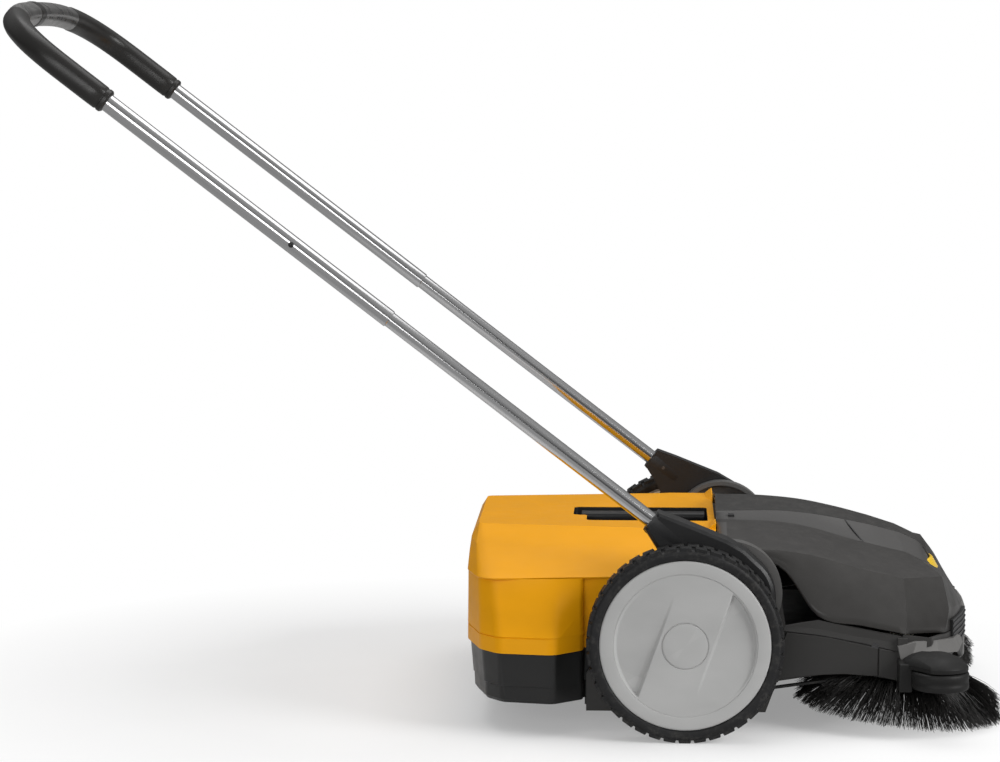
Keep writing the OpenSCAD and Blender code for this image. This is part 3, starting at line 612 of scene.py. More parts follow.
def disc_bristle_mesh(side, seed):
    """Tufts of filament that splay from the plate to the floor, the upper ones less, with a few strays."""
    rng = random.Random(seed)
    tilt = Matrix.Rotation(DISC_TILT, 3, "Y")
    centre = Vector((DISC.x, DISC.y, DISC.z))
    parts = []
    for ring, (root_r, tip_r, per_tuft, tip_low, tip_high, arch_high, rise) in enumerate(TUFT_RINGS):
        for t in range(TUFTS):
            tuft_a = 2 * math.pi * (t + 0.5 * (ring % 2)) / TUFTS + rng.uniform(-0.02, 0.02)
            tuft_reach = rng.uniform(0.955, 1.0)
            for _ in range(per_tuft):
                a = tuft_a + rng.gauss(0, 0.018)
                b = tuft_a + rng.gauss(0, 0.042)
                if rng.random() < 0.05:
                    b += rng.gauss(0, 0.12)
                reach = min(MOST_REACH, tip_r * tuft_reach * rng.uniform(0.95, 1.01))
                low = rng.uniform(tip_low, tip_high) + rise * max(0.0, -math.cos(b))
                root = Vector((root_r * math.cos(a), root_r * math.sin(a), DISC_ROOT_Z))
                tip = Vector((reach * math.cos(b), reach * math.sin(b), low))
                arch = rng.uniform(0.4, 1.0) * arch_high
                sway = rng.gauss(0, 2.0)
                path = []
                for k in range(STRAND_PIECES + 1):
                    f = k / STRAND_PIECES
                    p = root.lerp(tip, f)
                    p.z += arch * math.sin(math.pi * f)
                    p += Vector((-math.sin(a), math.cos(a), 0)) * sway * math.sin(math.pi * f)
                    path.append(centre + tilt @ p)
                parts.append(strand(path, rng.uniform(0.5, 0.85)))
    return to_side(join(*parts), side)


def roller_bristle_mesh():
    """Filament set in chevron rows round the roller."""
    rng = random.Random(5)
    low, high = node_box("roller_bristles")
    core_r = (node_box("roller_core")[1].z - node_box("roller_core")[0].z) / 2
    tip_r = (high.z - low.z) / 2
    parts = []
    rows, along = 10, 100
    for row in range(rows):
        for i in range(along):
            y = low.y + 4 + (high.y - low.y - 8) * i / (along - 1)
            lead = math.radians(50) * abs(y) / high.y
            for _ in range(4):
                a = 2 * math.pi * row / rows + lead + rng.gauss(0, 0.035)
                b = a + rng.gauss(0, 0.03)
                out0 = Vector((math.cos(a), 0, math.sin(a)))
                out1 = Vector((math.cos(b), 0, math.sin(b)))
                y1 = y + rng.gauss(0, 2.0)
                r1 = tip_r * rng.uniform(0.975, 1.0)
                path = [ROLLER + out0 * (core_r - 1) + Vector((0, y, 0)),
                        ROLLER + out0.lerp(out1, 0.5) * (core_r + r1) / 2 + Vector((0, (y + y1) / 2, 0)),
                        ROLLER + out1 * r1 + Vector((0, y1, 0))]
                parts.append(strand(path, rng.uniform(0.6, 0.9), 0.5))
    return join(*parts)


def build_brushes():
    for name, side in SIDES.items():
        mesh_object("disc_filament_" + name, *disc_bristle_mesh(side, 11 if side == LEFT else 12), BRISTLE,
                    "disc_brush_" + name, "bristle", ["disc_bristles_" + name])
    mesh_object("roller_filament", *roller_bristle_mesh(), BRISTLE, "sweep_roller", "bristle",
                ["roller_bristles"])


# ---------------------------------------------------------------- hood
# Lines from the rear edge to the middle of the nose, at the same nine stations each
CROWN = [(46, 0, 287), (92, 0, 288), (161, 0, 283), (220, 0, 271), (267, 0, 258), (303, 0, 246),
         (334, 0, 233),
         (350, 0, 224), (357, 0, 203)]
PANEL = [(46, 80, 276), (131, 66, 275), (180, 58, 270), (225, 53, 262), (270, 45, 252), (312, 37, 240),
         (338, 29, 227),
         (350, 20, 215), (357, 0, 202)]
STRIP = [(46, 118, 270), (130, 112, 266), (182, 108, 257), (234, 100, 241), (286, 90, 227), (318, 80, 218),
         (347, 62, 202), (362, 34, 190), (367, 0, 186)]
SHOULDER = [(46, 246, 249), (121, 246, 247), (174, 245, 240), (222, 244, 227), (304, 236, 206),
            (362, 188, 201),
            (377, 105, 184), (380, 50, 173), (380, 0, 168)]
MIDDLE = [(46, 252, 243), (126, 253, 236), (178, 273, 204), (234, 275, 190), (306, 271, 172),
          (371, 206, 158),
          (393, 120, 149), (402, 56, 143), (405, 0, 139)]
SILL = [(46, 256, 238), (130, 258, 225), (183, 298, 164), (245, 299, 151), (304, 299, 140), (364, 224, 128),
        (392, 130, 120), (405, 60, 115), (408, 0, 113)]
CORNERS = (4, 5)
STATION_STEPS = 6


def station_line(points):
    """A line through the nine stations: straight across the corner facet, and smooth on both sides of it."""
    a, b = CORNERS
    rear = spline(points[:a + 1], STATION_STEPS)
    facet = [Vector(points[a]).lerp(Vector(points[b]), k / STATION_STEPS) for k in range(1, STATION_STEPS)]
    front = spline(points[b:], STATION_STEPS)
    return rear + facet + front


def bulged(line_a, line_b, count, bulge):
    """Lines between two lines, pushed out by up to bulge millimetres."""
    lines = []
    for k in range(1, count + 1):
        f = k / (count + 1)
        row = []
        for i, (a, b) in enumerate(zip(line_a, line_b)):
            nxt, prv = line_a[min(i + 1, len(line_a) - 1)], line_a[max(i - 1, 0)]
            normal = (nxt - prv).cross(b - a)
            if normal.length > 1e-9:
                normal.normalize()
            if normal.z < 0:
                normal.negate()
            row.append(a.lerp(b, f) + normal * bulge * 4 * f * (1 - f))
        lines.append(row)
    return lines


def both_halves(lines):
    """Full-width rows across the hood from lines on its left half, the last line lying on the middle."""
    count = len(lines[0])
    rows = []
    for i in range(count):
        left = [line[i] for line in lines]
        right = [Vector((p.x, -p.y, p.z)) for p in reversed(left[:-1])]
        rows.append(left + right)
    return rows


FLANGE_END = 60


def build_hood():
    sill, middle, shoulder, strip, panel, crown = (
        station_line(line) for line in (SILL, MIDDLE, SHOULDER, STRIP, PANEL, CROWN))
    groove = [p + Vector((0, -1.6 if p.y > 1.6 else 0, -0.4)) for p in panel]
    groove_low = [p - Vector((0, 0, 3.2)) for p in groove]
    crown_low = [p - Vector((0, 0, 3.8)) for p in crown]
    flank = [sill] + bulged(sill, middle, 3, 0.8) + [middle] + bulged(middle, shoulder, 3, 0.8)
    cheek = [shoulder] + bulged(shoulder, strip, 6, 2.6)
    console = [strip] + bulged(strip, panel, 4, -1.5)
    lines = flank + cheek + console + [panel, groove_low, crown_low]
    shell = mesh_object("hood_skin", *loft(both_halves(lines), wrap=False, caps=False),
                        [HOOD_GREY, HOOD_GREY_PAINTED_SHEEN], "chassis",
                        "hood_grey", ["hood_shell"])
    first = len(flank) + len(cheek)
    columns = 2 * len(lines) - 2
    for row in range(len(sill) - 1):
        for col in range(columns):
            near = col if col < len(lines) else columns - 1 - col
            on_flange = lines[min(near, len(lines) - 1)][row + 1].x < FLANGE_END and near >= 2
            # The console strip faces, and the rear flange, get the paler copy of the hood plastic as painted
            # sheen.
            if on_flange or first <= near < first + len(console):
                shell.data.polygons[row * columns + col].material_index = 1
    bevel(shell, 1.8, 3, 13)
    thicken(shell, 3.2)

    panel_lines = [[p + Vector((0, -0.5 if p.y > 0.5 else 0, 0.2)) for p in panel]]
    panel_lines += bulged(panel_lines[0], crown, 5, 1.2) + [crown]
    rows = both_halves(panel_lines)[:-1]
    top = mesh_object("hood_panel_skin", *loft(rows, wrap=False, caps=False), PANEL_DARK, "chassis",
                      "panel_black",
                      ["hood_top_panel"])
    thicken(top, 2.6)
    bevel(top, 1.0, 3, 30)
    build_hood_seams(strip, panel)


def build_hood_seams(strip, panel):
    """The dark line between the console's front and rear parts, and the slot at its rear end."""
    along = 3.45
    for name, side in SIDES.items():
        rows = []
        for k in range(9):
            f = 0.02 + 0.96 * k / 8
            i = (along - 0.28 * f) * STATION_STEPS
            low, part = int(i), i - int(i)
            edge = [line[low].lerp(line[low + 1], part) for line in (strip, panel)]
            p = edge[0].lerp(edge[1], f)
            rows.append([p + Vector(d) for d in ((-0.8, 0, 0.5), (0.8, 0, 0.5), (0.8, 0, -3),
                    (-0.8, 0, -3))])
        side_object("console_seam", name, loft(rows), BLACK, "chassis", "hood_grey")
        slot = [[Vector((x, y, z)) for y, z in ((93, 268), (101, 268), (101, 273.2),
                (93, 274.2))] for x in (63, 72)]
        side_object("console_slot", name, loft(slot), BLACK, "chassis", "hood_grey")


def build_nose_trim():
    """A yellow chevron across the nose, under the panel's tip."""
    path = spline([(340, 72, 194), (354, 42, 192.5), (364, 0, 191), (354, -42, 192.5), (340, -72, 194)], 8)
    section = ((4.5, -9.5), (8.5, -8.5), (8.5, -6.5), (0.5, 8.0), (-2.5, 9.5), (-6, 6))
    rows = []
    for p in path:
        size = 1 - (abs(p.y) / 90) ** 2 * 0.7
        rows.append([p + Vector((dx * size, 0, dz * size)) for dx, dz in section])
    trim = mesh_object("nose_chevron", *loft(rows), TRIM_YELLOW, "chassis", "yellow_trim", ["nose_trim"])
    bevel(trim, 1.0, 3, 30)


# ---------------------------------------------------------------- container
# Left halves of its outlines seen from above, from the rear to the front: x, y and the corner's radius
SEAM = ((-304, 0, 0), (-304, 232, 10), (-283, 310, 8), (-257, 342, 9), (-180, 354, 12), (-142, 316, 5),
        (-141, 292, 3),
        (-22, 292, 3), (-22, 0, 0))
WAIST = ((-303, 0, 0), (-303, 238, 10), (-285, 297, 8), (-265, 309, 9), (-180, 309, 12), (-142, 302, 5),
         (-141, 292, 3),
         (-22, 292, 3), (-22, 0, 0))
BAND_LOW = ((-304, 0, 0), (-304, 240, 10), (-286, 302, 9), (-266, 315, 12), (-104, 294, 20), (-26, 291, 3),
            (-20, 252, 3),
            (44, 250, 2), (44, 0, 0))
BRIM = ((-303, 0, 0), (-303, 152, 5), (-293, 214, 5), (-282, 226, 10), (-104, 230, 20), (-26, 232, 3),
        (-20, 229, 3),
        (44, 227, 2), (44, 0, 0))
COVER = ((-294, 0, 0), (-294, 124, 2), (-293, 130, 2), (-289, 134, 2), (-104, 160, 20), (-26, 172, 3),
         (-20, 175, 2),
         (44, 175, 2), (44, 0, 0))
TRAY_LOW = ((-291, 0, 0), (-291, 226, 6), (-272, 300, 6), (-250, 328, 6), (-181, 342, 8), (-141, 306, 4),
            (-140, 291, 3),
            (-22, 291, 3), (-22, 0, 0))
TRAY_TOP = ((-300, 0, 0), (-300, 231, 6), (-280, 307, 6), (-255, 339, 6), (-180, 352, 8), (-141, 313, 4),
            (-140, 291, 3),
            (-22, 291, 3), (-22, 0, 0))
SEAM_Z, WAIST_Z, BRIM_Z = 115.6, 213.5, 247.5
TOP_Z = node_box("container_cover")[1].z
TRAY_Z = node_box("container_tray")[0].z


def mixed(low, high, f, grow=0.0):
    """The outline a share f of the way from low to high, drawn out by grow."""
    out = []
    for (x0, y0, r0), (x1, y1, r1) in zip(low, high):
        x, y = x0 + (x1 - x0) * f, y0 + (y1 - y0) * f
        x += grow if x > -30 else -grow
        out.append((x, y + grow if y > 0 else 0, r0 + (r1 - r0) * f))
    return tuple(out)


LEVELS = ((SEAM_Z, mixed(SEAM, WAIST, 0)), (136, mixed(SEAM, WAIST, 0.06)),
          (137.2, mixed(SEAM, WAIST, 0.06, -1)),
          (138.4, mixed(SEAM, WAIST, 0.06)), (165, mixed(SEAM, WAIST, 0.42)), (192,
                  mixed(SEAM, WAIST, 0.8)),
          (206, mixed(SEAM, WAIST, 0.95)), (WAIST_Z, WAIST))
BAND = ((WAIST_Z - 0.5, mixed(BAND_LOW, BRIM, 0, -1)), (WAIST_Z + 1.5, BAND_LOW),
        (235, mixed(BAND_LOW, BRIM, 0.5)),
        (BRIM_Z - 1.5, mixed(BAND_LOW, BRIM, 0.96)), (BRIM_Z, BRIM), (TOP_Z - 1.2,
                mixed(BRIM, COVER, 0.96)), (TOP_Z, COVER))
TRAY = ((TRAY_Z, TRAY_LOW), (TRAY_Z + 5, mixed(TRAY_LOW, TRAY_TOP, 0.35)),
        (68, mixed(TRAY_LOW, TRAY_TOP, 0.45)),
        (69.5, mixed(TRAY_LOW, TRAY_TOP, 0.45, 1.2)), (SEAM_Z - 0.6, TRAY_TOP))


def level_ring(z, half):
    """A closed ring at height z from one half of an outline."""
    corners = [(x, y, r) for x, y, r in half] + [(x, -y, r) for x, y, r in reversed(half)]
    return [Vector((p.x, p.y, z)) for p in rounded(corners, 4)]


def inner_rings(levels, wall):
    """The same rings drawn in by the wall, for the inside of an open box."""
    rings = []
    for z, half in levels:
        shrunk = []
        for x, y, r in half:
            dx = wall if x < -143 else (-wall if x > -30 else wall * 0.5)
            shrunk.append((x + dx, max(0, y - wall), r))
        rings.append(level_ring(z, shrunk))
    return rings


def cut(obj, *cutters):
    """Takes cutters out of obj and deletes them."""
    for cutter in cutters:
        mod = obj.modifiers.new("cut", "BOOLEAN")
        mod.operation = "DIFFERENCE"
        mod.solver = "EXACT"
        mod.object = cutter
        apply_modifiers(obj)
        bpy.data.objects.remove(cutter)
    return obj


def apply_modifiers(obj):
    """Bakes every modifier into the mesh."""
    graph = bpy.context.evaluated_depsgraph_get()
    graph.update()
    mesh = bpy.data.meshes.new_from_object(obj.evaluated_get(graph), preserve_all_data_layers=True,
                                           depsgraph=graph)
    obj.modifiers.clear()
    obj.data = mesh
    return obj


def tool(name, part):
    """A plain solid used only to cut another."""
    mesh = bpy.data.meshes.new(name)
    mesh.from_pydata([place(v) for v in part[0]], [], part[1])
    bm = bmesh.new()
    bm.from_mesh(mesh)
    bmesh.ops.recalc_face_normals(bm, faces=bm.faces)
    bm.to_mesh(mesh)
    bm.free()
    obj = bpy.data.objects.new(name, mesh)
    bpy.context.scene.collection.objects.link(obj)
    return obj


# The finger recess seen from above, with a stepped rear end
RECESS = ((34, -100, 5), (34, 28, 5), (-160, 28, 8), (-160, -50, 10), (-140, -50, 6), (-140, -100, 10))
RECESS_DEPTH = 31


def recess_ring(z, grow):
    middle = Vector((-56, -36))
    ring = []
    for p in rounded(RECESS, 4):
        out = p - middle
        ring.append(Vector((p.x + math.copysign(grow, out.x), p.y + math.copysign(grow, out.y), z)))
    return ring


def build_container():
    lower_out = [level_ring(z, half) for z, half in LEVELS]
    lower_in = inner_rings(LEVELS, 3)
    lower = mesh_object("container_lower_wall", *loft(lower_in[::-1] + lower_out, caps=False), YELLOW,
                        "container",
                        "yellow_shell", ["container_shell"])
    cut(lower, tool("mouth", block(-40, -10, -282, 282, 100, 146)))
    bevel(lower, 1.0, 2, 30)

    band_out = [level_ring(z, half) for z, half in BAND]
    band_in = [[p - Vector((0, 0, 3 if i > 0 else 0)) for p in ring] for i,
               ring in enumerate(inner_rings(BAND, 3))]
    verts, faces = loft(band_in[::-1] + band_out)
    cover = mesh_object("container_lid", verts, faces, YELLOW, "container", "yellow_shell",
                        ["container_cover"])
    cut(cover, tool("recess_hole", loft([recess_ring(TOP_Z - 12, 0.3), recess_ring(TOP_Z + 12, 0.3)])))
    bevel(cover, 1.6, 3, 22)

    floor_z = TOP_Z - RECESS_DEPTH
    basin = [recess_ring(floor_z - 2, 0), recess_ring(TOP_Z - 0.5, 0), recess_ring(TOP_Z - 0.5, -2.2),
             recess_ring(floor_z + 4, -3), recess_ring(floor_z, -7)]
    cup = mesh_object("recess_basin", *loft(basin), BLACK, "container", "black_plastic", ["grip_cup"])
    bevel(cup, 0.6, 2, 40)

    fore = join(block(-24, 44, 247, 250, 150, WAIST_Z), block(-24, 44, -250, -247, 150, WAIST_Z),
                block(-24, 44, -249, 249, 150, 153), block(41, 44, -249, 249, 150, WAIST_Z))
    bevel(mesh_object("container_throat", *fore, YELLOW, "container", "yellow_shell"), 0.8, 2, 30)

    tray_out = [level_ring(z, half) for z, half in TRAY]
    tray_in = [[p + Vector((0, 0, 3 if i == 0 else 0)) for p in ring] for i,
               ring in enumerate(inner_rings(TRAY, 3))]
    tray = mesh_object("container_tray_wall", *loft(tray_out + tray_in[::-1]), TRAY_BLACK, "container",
                       "tray_black",
                       ["container_tray"])
    cut(tray, tool("tray_mouth", block(-40, -10, -282, 282, 53, 130)))
    bevel(tray, 1.2, 2, 30)

    # raised lip along the cover's front edge, highest beside the middle
    lip = [(32, 0), (43.0, 8.5), (44.5, 8.5), (44.5, -4), (32, -4)]
    rows = [[Vector((44.5 - (44.5 - x) * size, y, TOP_Z - 0.2 + z * (0.2 + 0.8 * size))) for x, z in lip]
            for y, size in ((100, 0.15), (124, 0.75), (170, 1.0), (174.5, 0.9))]
    lips = join(loft(rows), mirrored_y(loft(rows)))
    bevel(mesh_object("container_front_lip", *lips, YELLOW, "container", "yellow_shell"), 0.8, 2, 30)


def build_carry_grip():
    """A rounded bar across the recess in the cover, flush with its face."""
    low, high = node_box("carry_grip")
    middle = (low.y + high.y) / 2
    outline = rounded([(-12, -15, 4), (12, -15, 4), (13.5, -5, 4), (10.5, 0, 4), (-10.5, 0, 4),
                       (-13.5, -5, 4)], 4)
    rows = [[Vector((x, middle + p.x * size, TOP_Z - 0.6 + p.y * size)) for p in outline]
            for x, size in ((low.x + 0.2, 1.0), (low.x + 12, 1.0), (-60, 0.94), (high.x - 12, 1.0),
                            (high.x - 0.2, 1.0))]
    bar = mesh_object("carry_bar", *loft(rows), BLACK, "container", "black_plastic", ["carry_grip"])
    bevel(bar, 1.0, 2, 40)


# ---------------------------------------------------------------- chassis skins
def build_chassis_skins():
    """Outer skins of the side plates: a wall, a sloping ledge over it, the corner over the guide wheel."""
    for name, side in SIDES.items():
        y0, y1 = 299.9, 302.6
        wall = [(128, 74), (150, 78), (185, 81.5), (219, 83), (266, 80), (266, 120), (200, 134),
                (140, 141), (128, 110)]
        skin = side_object("side_skin", name, prism_xz(wall, y0, y1), CHASSIS_GREY, "chassis",
                           "chassis_grey")
        bevel(skin, 1.2, 3, 30)
        front = [(267, 80), (290, 75), (304, 69), (304, 112), (267, 120)]
        tail = side_object("side_front", name, prism_xz(front, y0, y1 + 0.8), CHASSIS_GREY, "chassis",
                           "chassis_grey")
        bevel(tail, 1.2, 3, 30)
        ledge = []
        for x, low_z, top_z, top_y in ((136, 142.5, 150, 299), (184, 137.5, 158, 296),
                                       (245, 126.5, 146, 296), (300, 113.5, 136, 297)):
            ledge.append([Vector((x, y1, low_z)), Vector((x, 298, low_z)),
                          Vector((x, top_y - 5, top_z - 1)),
                          Vector((x, top_y, top_z))])
        upper = side_object("side_ledge", name, loft(ledge), CHASSIS_GREY, "chassis", "chassis_grey")
        bevel(upper, 0.8, 2, 25)
        # the corner: a sloping face that runs from the ledge round to the nose, above the guide wheel's cap
        corner = [
            [(292, 308.5, 124), (297, 309.5, 102), (297, 296, 102), (292, 296, 124)],
            [(318, 309, 131), (311, 314, 108), (310, 296, 103), (317, 292, 129)],
            [(348, 277, 127), (348, 312, 115), (340, 258, 103), (342, 258, 124)],
            [(377, 215, 118.5), (382, 240, 104), (368, 200, 100), (368, 200, 116)],
            [(392, 136, 112), (397, 146, 100), (386, 132, 97), (386, 132, 110)],
        ]
        part = loft([[Vector(p) for p in row] for row in corner])
        over = side_object("front_corner", name, part, FACET_GREY, "chassis", "chassis_grey")
        bevel(over, 1.2, 3, 20)


def build_nose():
    """The upright middle of the nose, and a long dark grille on each side of it."""
    outline = rounded([(396, 0, 0), (396, 62, 4), (404, 64, 4), (409, 52, 8), (411, 0, 0), (409, -52, 8),
                       (404, -64, 4),
                       (396, -62, 4)], 4)
    rows = [[Vector((p.x - back, p.y, z)) for p in outline] for z,
            back in ((60, 4), (64, 1), (110, 0), (134, 1), (141, 4))]
    lip = mesh_object("nose_lip", *loft(rows), FACET_GREY, "chassis", "chassis_grey")
    bevel(lip, 1.2, 3, 30)
    front = ((376.5, 190), (384.8, 160), (393.4, 130), (399.4, 100), (403.2, 80))
    for name, side in SIDES.items():
        rows = [[Vector((x + 2, y, 97)), Vector((x + 2.4, y, 140)), Vector((x - 6, y - 2, 140)),
                 Vector((x - 6, y - 2, 97))]
                for x, y in front]
        grille = side_object("nose_grille", name, loft(rows), BLACK, "chassis", "chassis_grey")
        bevel(grille, 1.0, 2, 30)
        bars = []
        for k in range(5):
            z = 104 + 7.5 * k
            bars.append(loft([[Vector((x + dx, y, z + dz)) for dx,
                               dz in ((1, -1.1), (3.4, -1.1), (3.4, 1.1), (1, 1.1))]
                              for x, y in front]))
        side_object("nose_grille_bars", name, join(*bars), BLACK, "chassis", "chassis_grey")


# ---------------------------------------------------------------- guide wheels and brackets
def build_guides():
    for name, side in SIDES.items():
        wheel_r = (GUIDE_HIGH.x - GUIDE_LOW.x) / 2
        low, high = GUIDE_LOW.z, GUIDE_HIGH.z
        profile = [(4.2, low), (wheel_r - 9, low), (wheel_r - 7, low + 1.2), (wheel_r - 3.5, low + 0.3),
                   (wheel_r - 1.2, low + 1.0),
                   (wheel_r, low + 3), (wheel_r, low + 9), (wheel_r - 0.5, low + 9.8), (wheel_r - 0.5,
                           low + 14.2),
                   (wheel_r, low + 15), (wheel_r, high - 3), (wheel_r - 1.2, high - 1.0), (wheel_r - 3.5,
                           high), (10, high),
                   (4.2, high), (4.2, low)]
        centre = Vector((GUIDE.x, GUIDE.y, 0))
        part = revolve(profile, 96, centre, (0, 0, 1))
        side_object("guide_roller", name, part, DARK_CAP, "guide_wheel_" + name, "black_plastic",
                    ["guide_wheel_" + name])
        cap_low, cap_r = high + 1.5, wheel_r - 1
        outline = [Vector((cap_r * math.cos(a),
                           cap_r * math.sin(a))) for a in (math.radians(-125 + 12 * k) for k in range(21))]
        tail = [Vector((-50, -8)), Vector((-50, -36))]
        ring = [centre.xy + p for p in outline] + [centre.xy + p for p in tail]
        rings = []
        for z, shrink in ((cap_low, 1.0), (cap_low + 5.5, 1.0), (cap_low + 9, 0.93), (cap_low + 16, 0.72),
                          (cap_low + 21, 0.42)):
            hub = Vector((GUIDE.x - 6, GUIDE.y - 22 * (1 - shrink)))
            rings.append([Vector(((hub.x + (p.x - hub.x) * shrink), (hub.y + (p.y - hub.y) * shrink),
                                  z)) for p in ring])
        cap = side_object("guide_cap", name, loft(rings), DARK_CAP, "chassis", "black_plastic",
                          ["roller_bracket_" + name])
        bevel(cap, 1.6, 3, 25)
        cheek = side_object("guide_cheek", name, block(GUIDE.x - 56, GUIDE.x - 38, 303, 346, 67, 106),
                            DARK_CAP,
                            "chassis", "black_plastic")
        bevel(cheek, 2.0, 3, 30)


# ---------------------------------------------------------------- handle
def tube_mesh(s0, s1, radius, side, count=40, end_round=0.8):
    """A tube along the handle, with its ends turned in slightly."""
    a, b = in_handle(s0, side * TUBE_Y, TUBE_RISE), in_handle(s1, side * TUBE_Y, TUBE_RISE)
    length = (b - a).length
    wall = 1.4
    profile = [(radius - wall, 0), (radius - end_round, 0), (radius, end_round),
               (radius, length - end_round),
               (radius - end_round, length), (radius - wall, length), (radius - wall, 0)]
    return revolve(profile, count, a, b - a)


def arm_mesh(side):
    """The moulded arm: a round hub on the pivot that runs up into the tube's socket."""
    low, high = node_box("handle_arm_left")
    inner, outer = low.y, high.y
    hub = [(63 * math.cos(math.radians(a)), 63 * math.sin(math.radians(a))) for a in range(100, 296, 8)]
    upper = [(150, 33.5), (120, 43), (52, 62.0), (24, 65.5)]
    lower = [(0, -62), (36, -51), (74, -33), (118, -9.5), (150, 2.5)]
    outline = upper + [p for p in hub if p[0] < 20 and p[1] > -63] + lower
    rings = []
    for y, inset in ((inner + 0.3, 0.0), (outer - 8, 0.0), (outer - 3.5, 1.6), (outer - 0.2, 6.0)):
        ring = []
        count = len(outline)
        for i, (s, n) in enumerate(outline):
            before = Vector(outline[i - 1])
            after = Vector(outline[(i + 1) % count])
            here = Vector((s, n))
            edge = (after - before).normalized()
            inward = Vector((-edge.y, edge.x))
            if inward.dot(Vector((40, 5)) - here) < 0:
                inward.negate()
            moved = here + inward * inset
            ring.append(in_handle(moved.x, side * y, moved.y))
        rings.append(ring)
    return loft(rings)


def socket_mesh(side):
    """The six-sided socket that holds the tube."""
    rows = []
    for s, r in ((92, 13.5), (100, 16.2), (146, 16.6), (150.5, 15.4), (150.5, 11.3), (104, 11.3)):
        ring = []
        for k in range(24):
            a = 2 * math.pi * k / 24
            flat = 1 / max(abs(math.cos(a - math.radians(60) * j)) for j in range(6)) if r > 12 else 1
            size = r * (0.6 * min(flat, 1.15) + 0.4) if r > 12 else r
            ring.append(in_handle(s, side * (TUBE_Y + size * math.cos(a)), TUBE_RISE + size * math.sin(a)))
        rows.append(ring)
    return loft(rows, caps=False)


def build_arms_and_tubes():
    for name, side in SIDES.items():
        arm = mesh_object("arm_skin_" + name, *arm_mesh(side), BLACK, "handle_lower", "black_plastic",
                          ["handle_arm_" + name])
        bevel(arm, 2.2, 3, 25)
        mesh_object("arm_socket_" + name, *socket_mesh(side), BLACK, "handle_lower", "black_plastic")
        lower = mesh_object("lower_tube_skin_" + name, *tube_mesh(102, 790, 11, side), ALUMINIUM,
                            "handle_lower",
                            "tube_aluminium", ["lower_tube_" + name])
        upper = mesh_object("upper_tube_skin_" + name, *tube_mesh(601, 1130, 12.5, side), ALUMINIUM,
                            "handle_upper",
                            "tube_aluminium", ["upper_tube_" + name])
        low, high = node_box("snap_button_" + name)
        hole = revolve([(0, -4), (3.9, -4), (3.9, 6), (0, 6)], 24,
                       ((low.x + high.x) / 2, side * (TUBE_Y + 12), (low.z + high.z) / 2), (0, side, 0))
        for tube in (lower, upper):
            cut(tube, tool("button_hole", hole))


BOW_BEND, BOW_END, BOW_LIFT, BOW_POWER = 1140, 1280, 1, 3.2
GRIP_START, CROSS_TO = 1085, 30


def bow_point(a):
    """Middle line of the bow at a degrees: 0 at the middle of the crossbar, 90 at the left tube."""
    r = math.radians(a)
    s = BOW_BEND + (BOW_END - BOW_BEND) * max(0, math.cos(r)) ** (2 / BOW_POWER)
    y = math.copysign(TUBE_Y * abs(math.sin(r)) ** (2 / BOW_POWER), a)
    n = TUBE_RISE + BOW_LIFT * max(0, (s - BOW_BEND) / (BOW_END - BOW_BEND)) ** 3
    return in_handle(s, y, n)


def bow_ring(p, direction, across, up, count=28, power=2.5):
    """A ring of points square to direction, a little squarer than an ellipse."""
    side = direction.cross(TUBE_UP).normalized()
    top = side.cross(direction).normalized()
    ring = []
    for k in range(count):
        a = 2 * math.pi * k / count
        c, s = math.cos(a), math.sin(a)
        ring.append(p + side * math.copysign(abs(c) ** (2 / power), c) * across
                    + top * math.copysign(abs(s) ** (2 / power), s) * up)
    return ring


def build_bow():
    """A metal crossbar with a dark ring in its middle, and a long moulded grip round each corner."""
    def ring_at(a, across, up, side=1):
        return bow_ring(bow_point(a), bow_point(a + 0.5 * side) - bow_point(a - 0.5 * side), across, up)

    steps = [k * 2.5 for k in range(-12, 13)]
    mesh_object("bow_middle", *loft([ring_at(a, 16.6, 16.2) for a in steps]), BOW_GREY, "handle_upper",
                "bow_grey", ["handle_bow"])
    band = [-3.6, -3.4, -3.0, -1.2, -0.8, -0.6]
    rows = [ring_at(a, 17.6 - fall, 17.2 - fall) for a, fall in zip(band, (1.2, 0.3, 0, 0, 0.3, 1.2))]
    mesh_object("bow_ring", *loft(rows), SOFT_GRIP, "handle_upper", "bow_grey")
    for name, side in SIDES.items():
        angles = [side * (CROSS_TO - 1.5 + (86 - CROSS_TO + 1.5) * (k / 26)) for k in range(27)]
        rows = [ring_at(a, 17.6 - (1.2 if i == 0 else 0), 17.4 - (1.2 if i == 0 else 0), side)
                for i, a in enumerate(angles)]
        for s, w, h in ((BOW_BEND - 6, 17.6, 17.4), (BOW_BEND - 30, 17.6, 17.4),
                        (GRIP_START + 11, 17.4, 17.2),
                        (GRIP_START + 9.5, 16.4, 16.2), (GRIP_START + 8, 16.4, 16.2), (GRIP_START + 7,
                                17.4, 17.2),
                        (GRIP_START + 2.5, 17.2, 17.0), (GRIP_START, 14.6, 14.4)):
            rows.append(bow_ring(in_handle(s, side * TUBE_Y, TUBE_RISE), -TUBE_DIR, w, h))
        grip = mesh_object("moulded_grip_" + name, *loft(rows), SOFT_GRIP, "handle_upper", "grip_rubber",
                           ["handle_grips"] if side == LEFT else ())
        bevel(grip, 0.5, 2, 40)


def build_snap_buttons():
    for name, side in SIDES.items():
        low, high = node_box("snap_button_" + name)
        centre = Vector(((low.x + high.x) / 2, low.y if side == LEFT else high.y, (low.z + high.z) / 2))
        profile = [(0.05, 0), (3.4, 0), (3.4, 2.4), (3.1, 3.3), (2.3, 3.95), (1.2, 4.2), (0.05, 4.25)]
        mesh_object("snap_head_" + name, *revolve(profile, 32, centre, (0, side, 0)), BLACK,
                    "snap_button_" + name,
                    "black_plastic", ["snap_button_" + name])


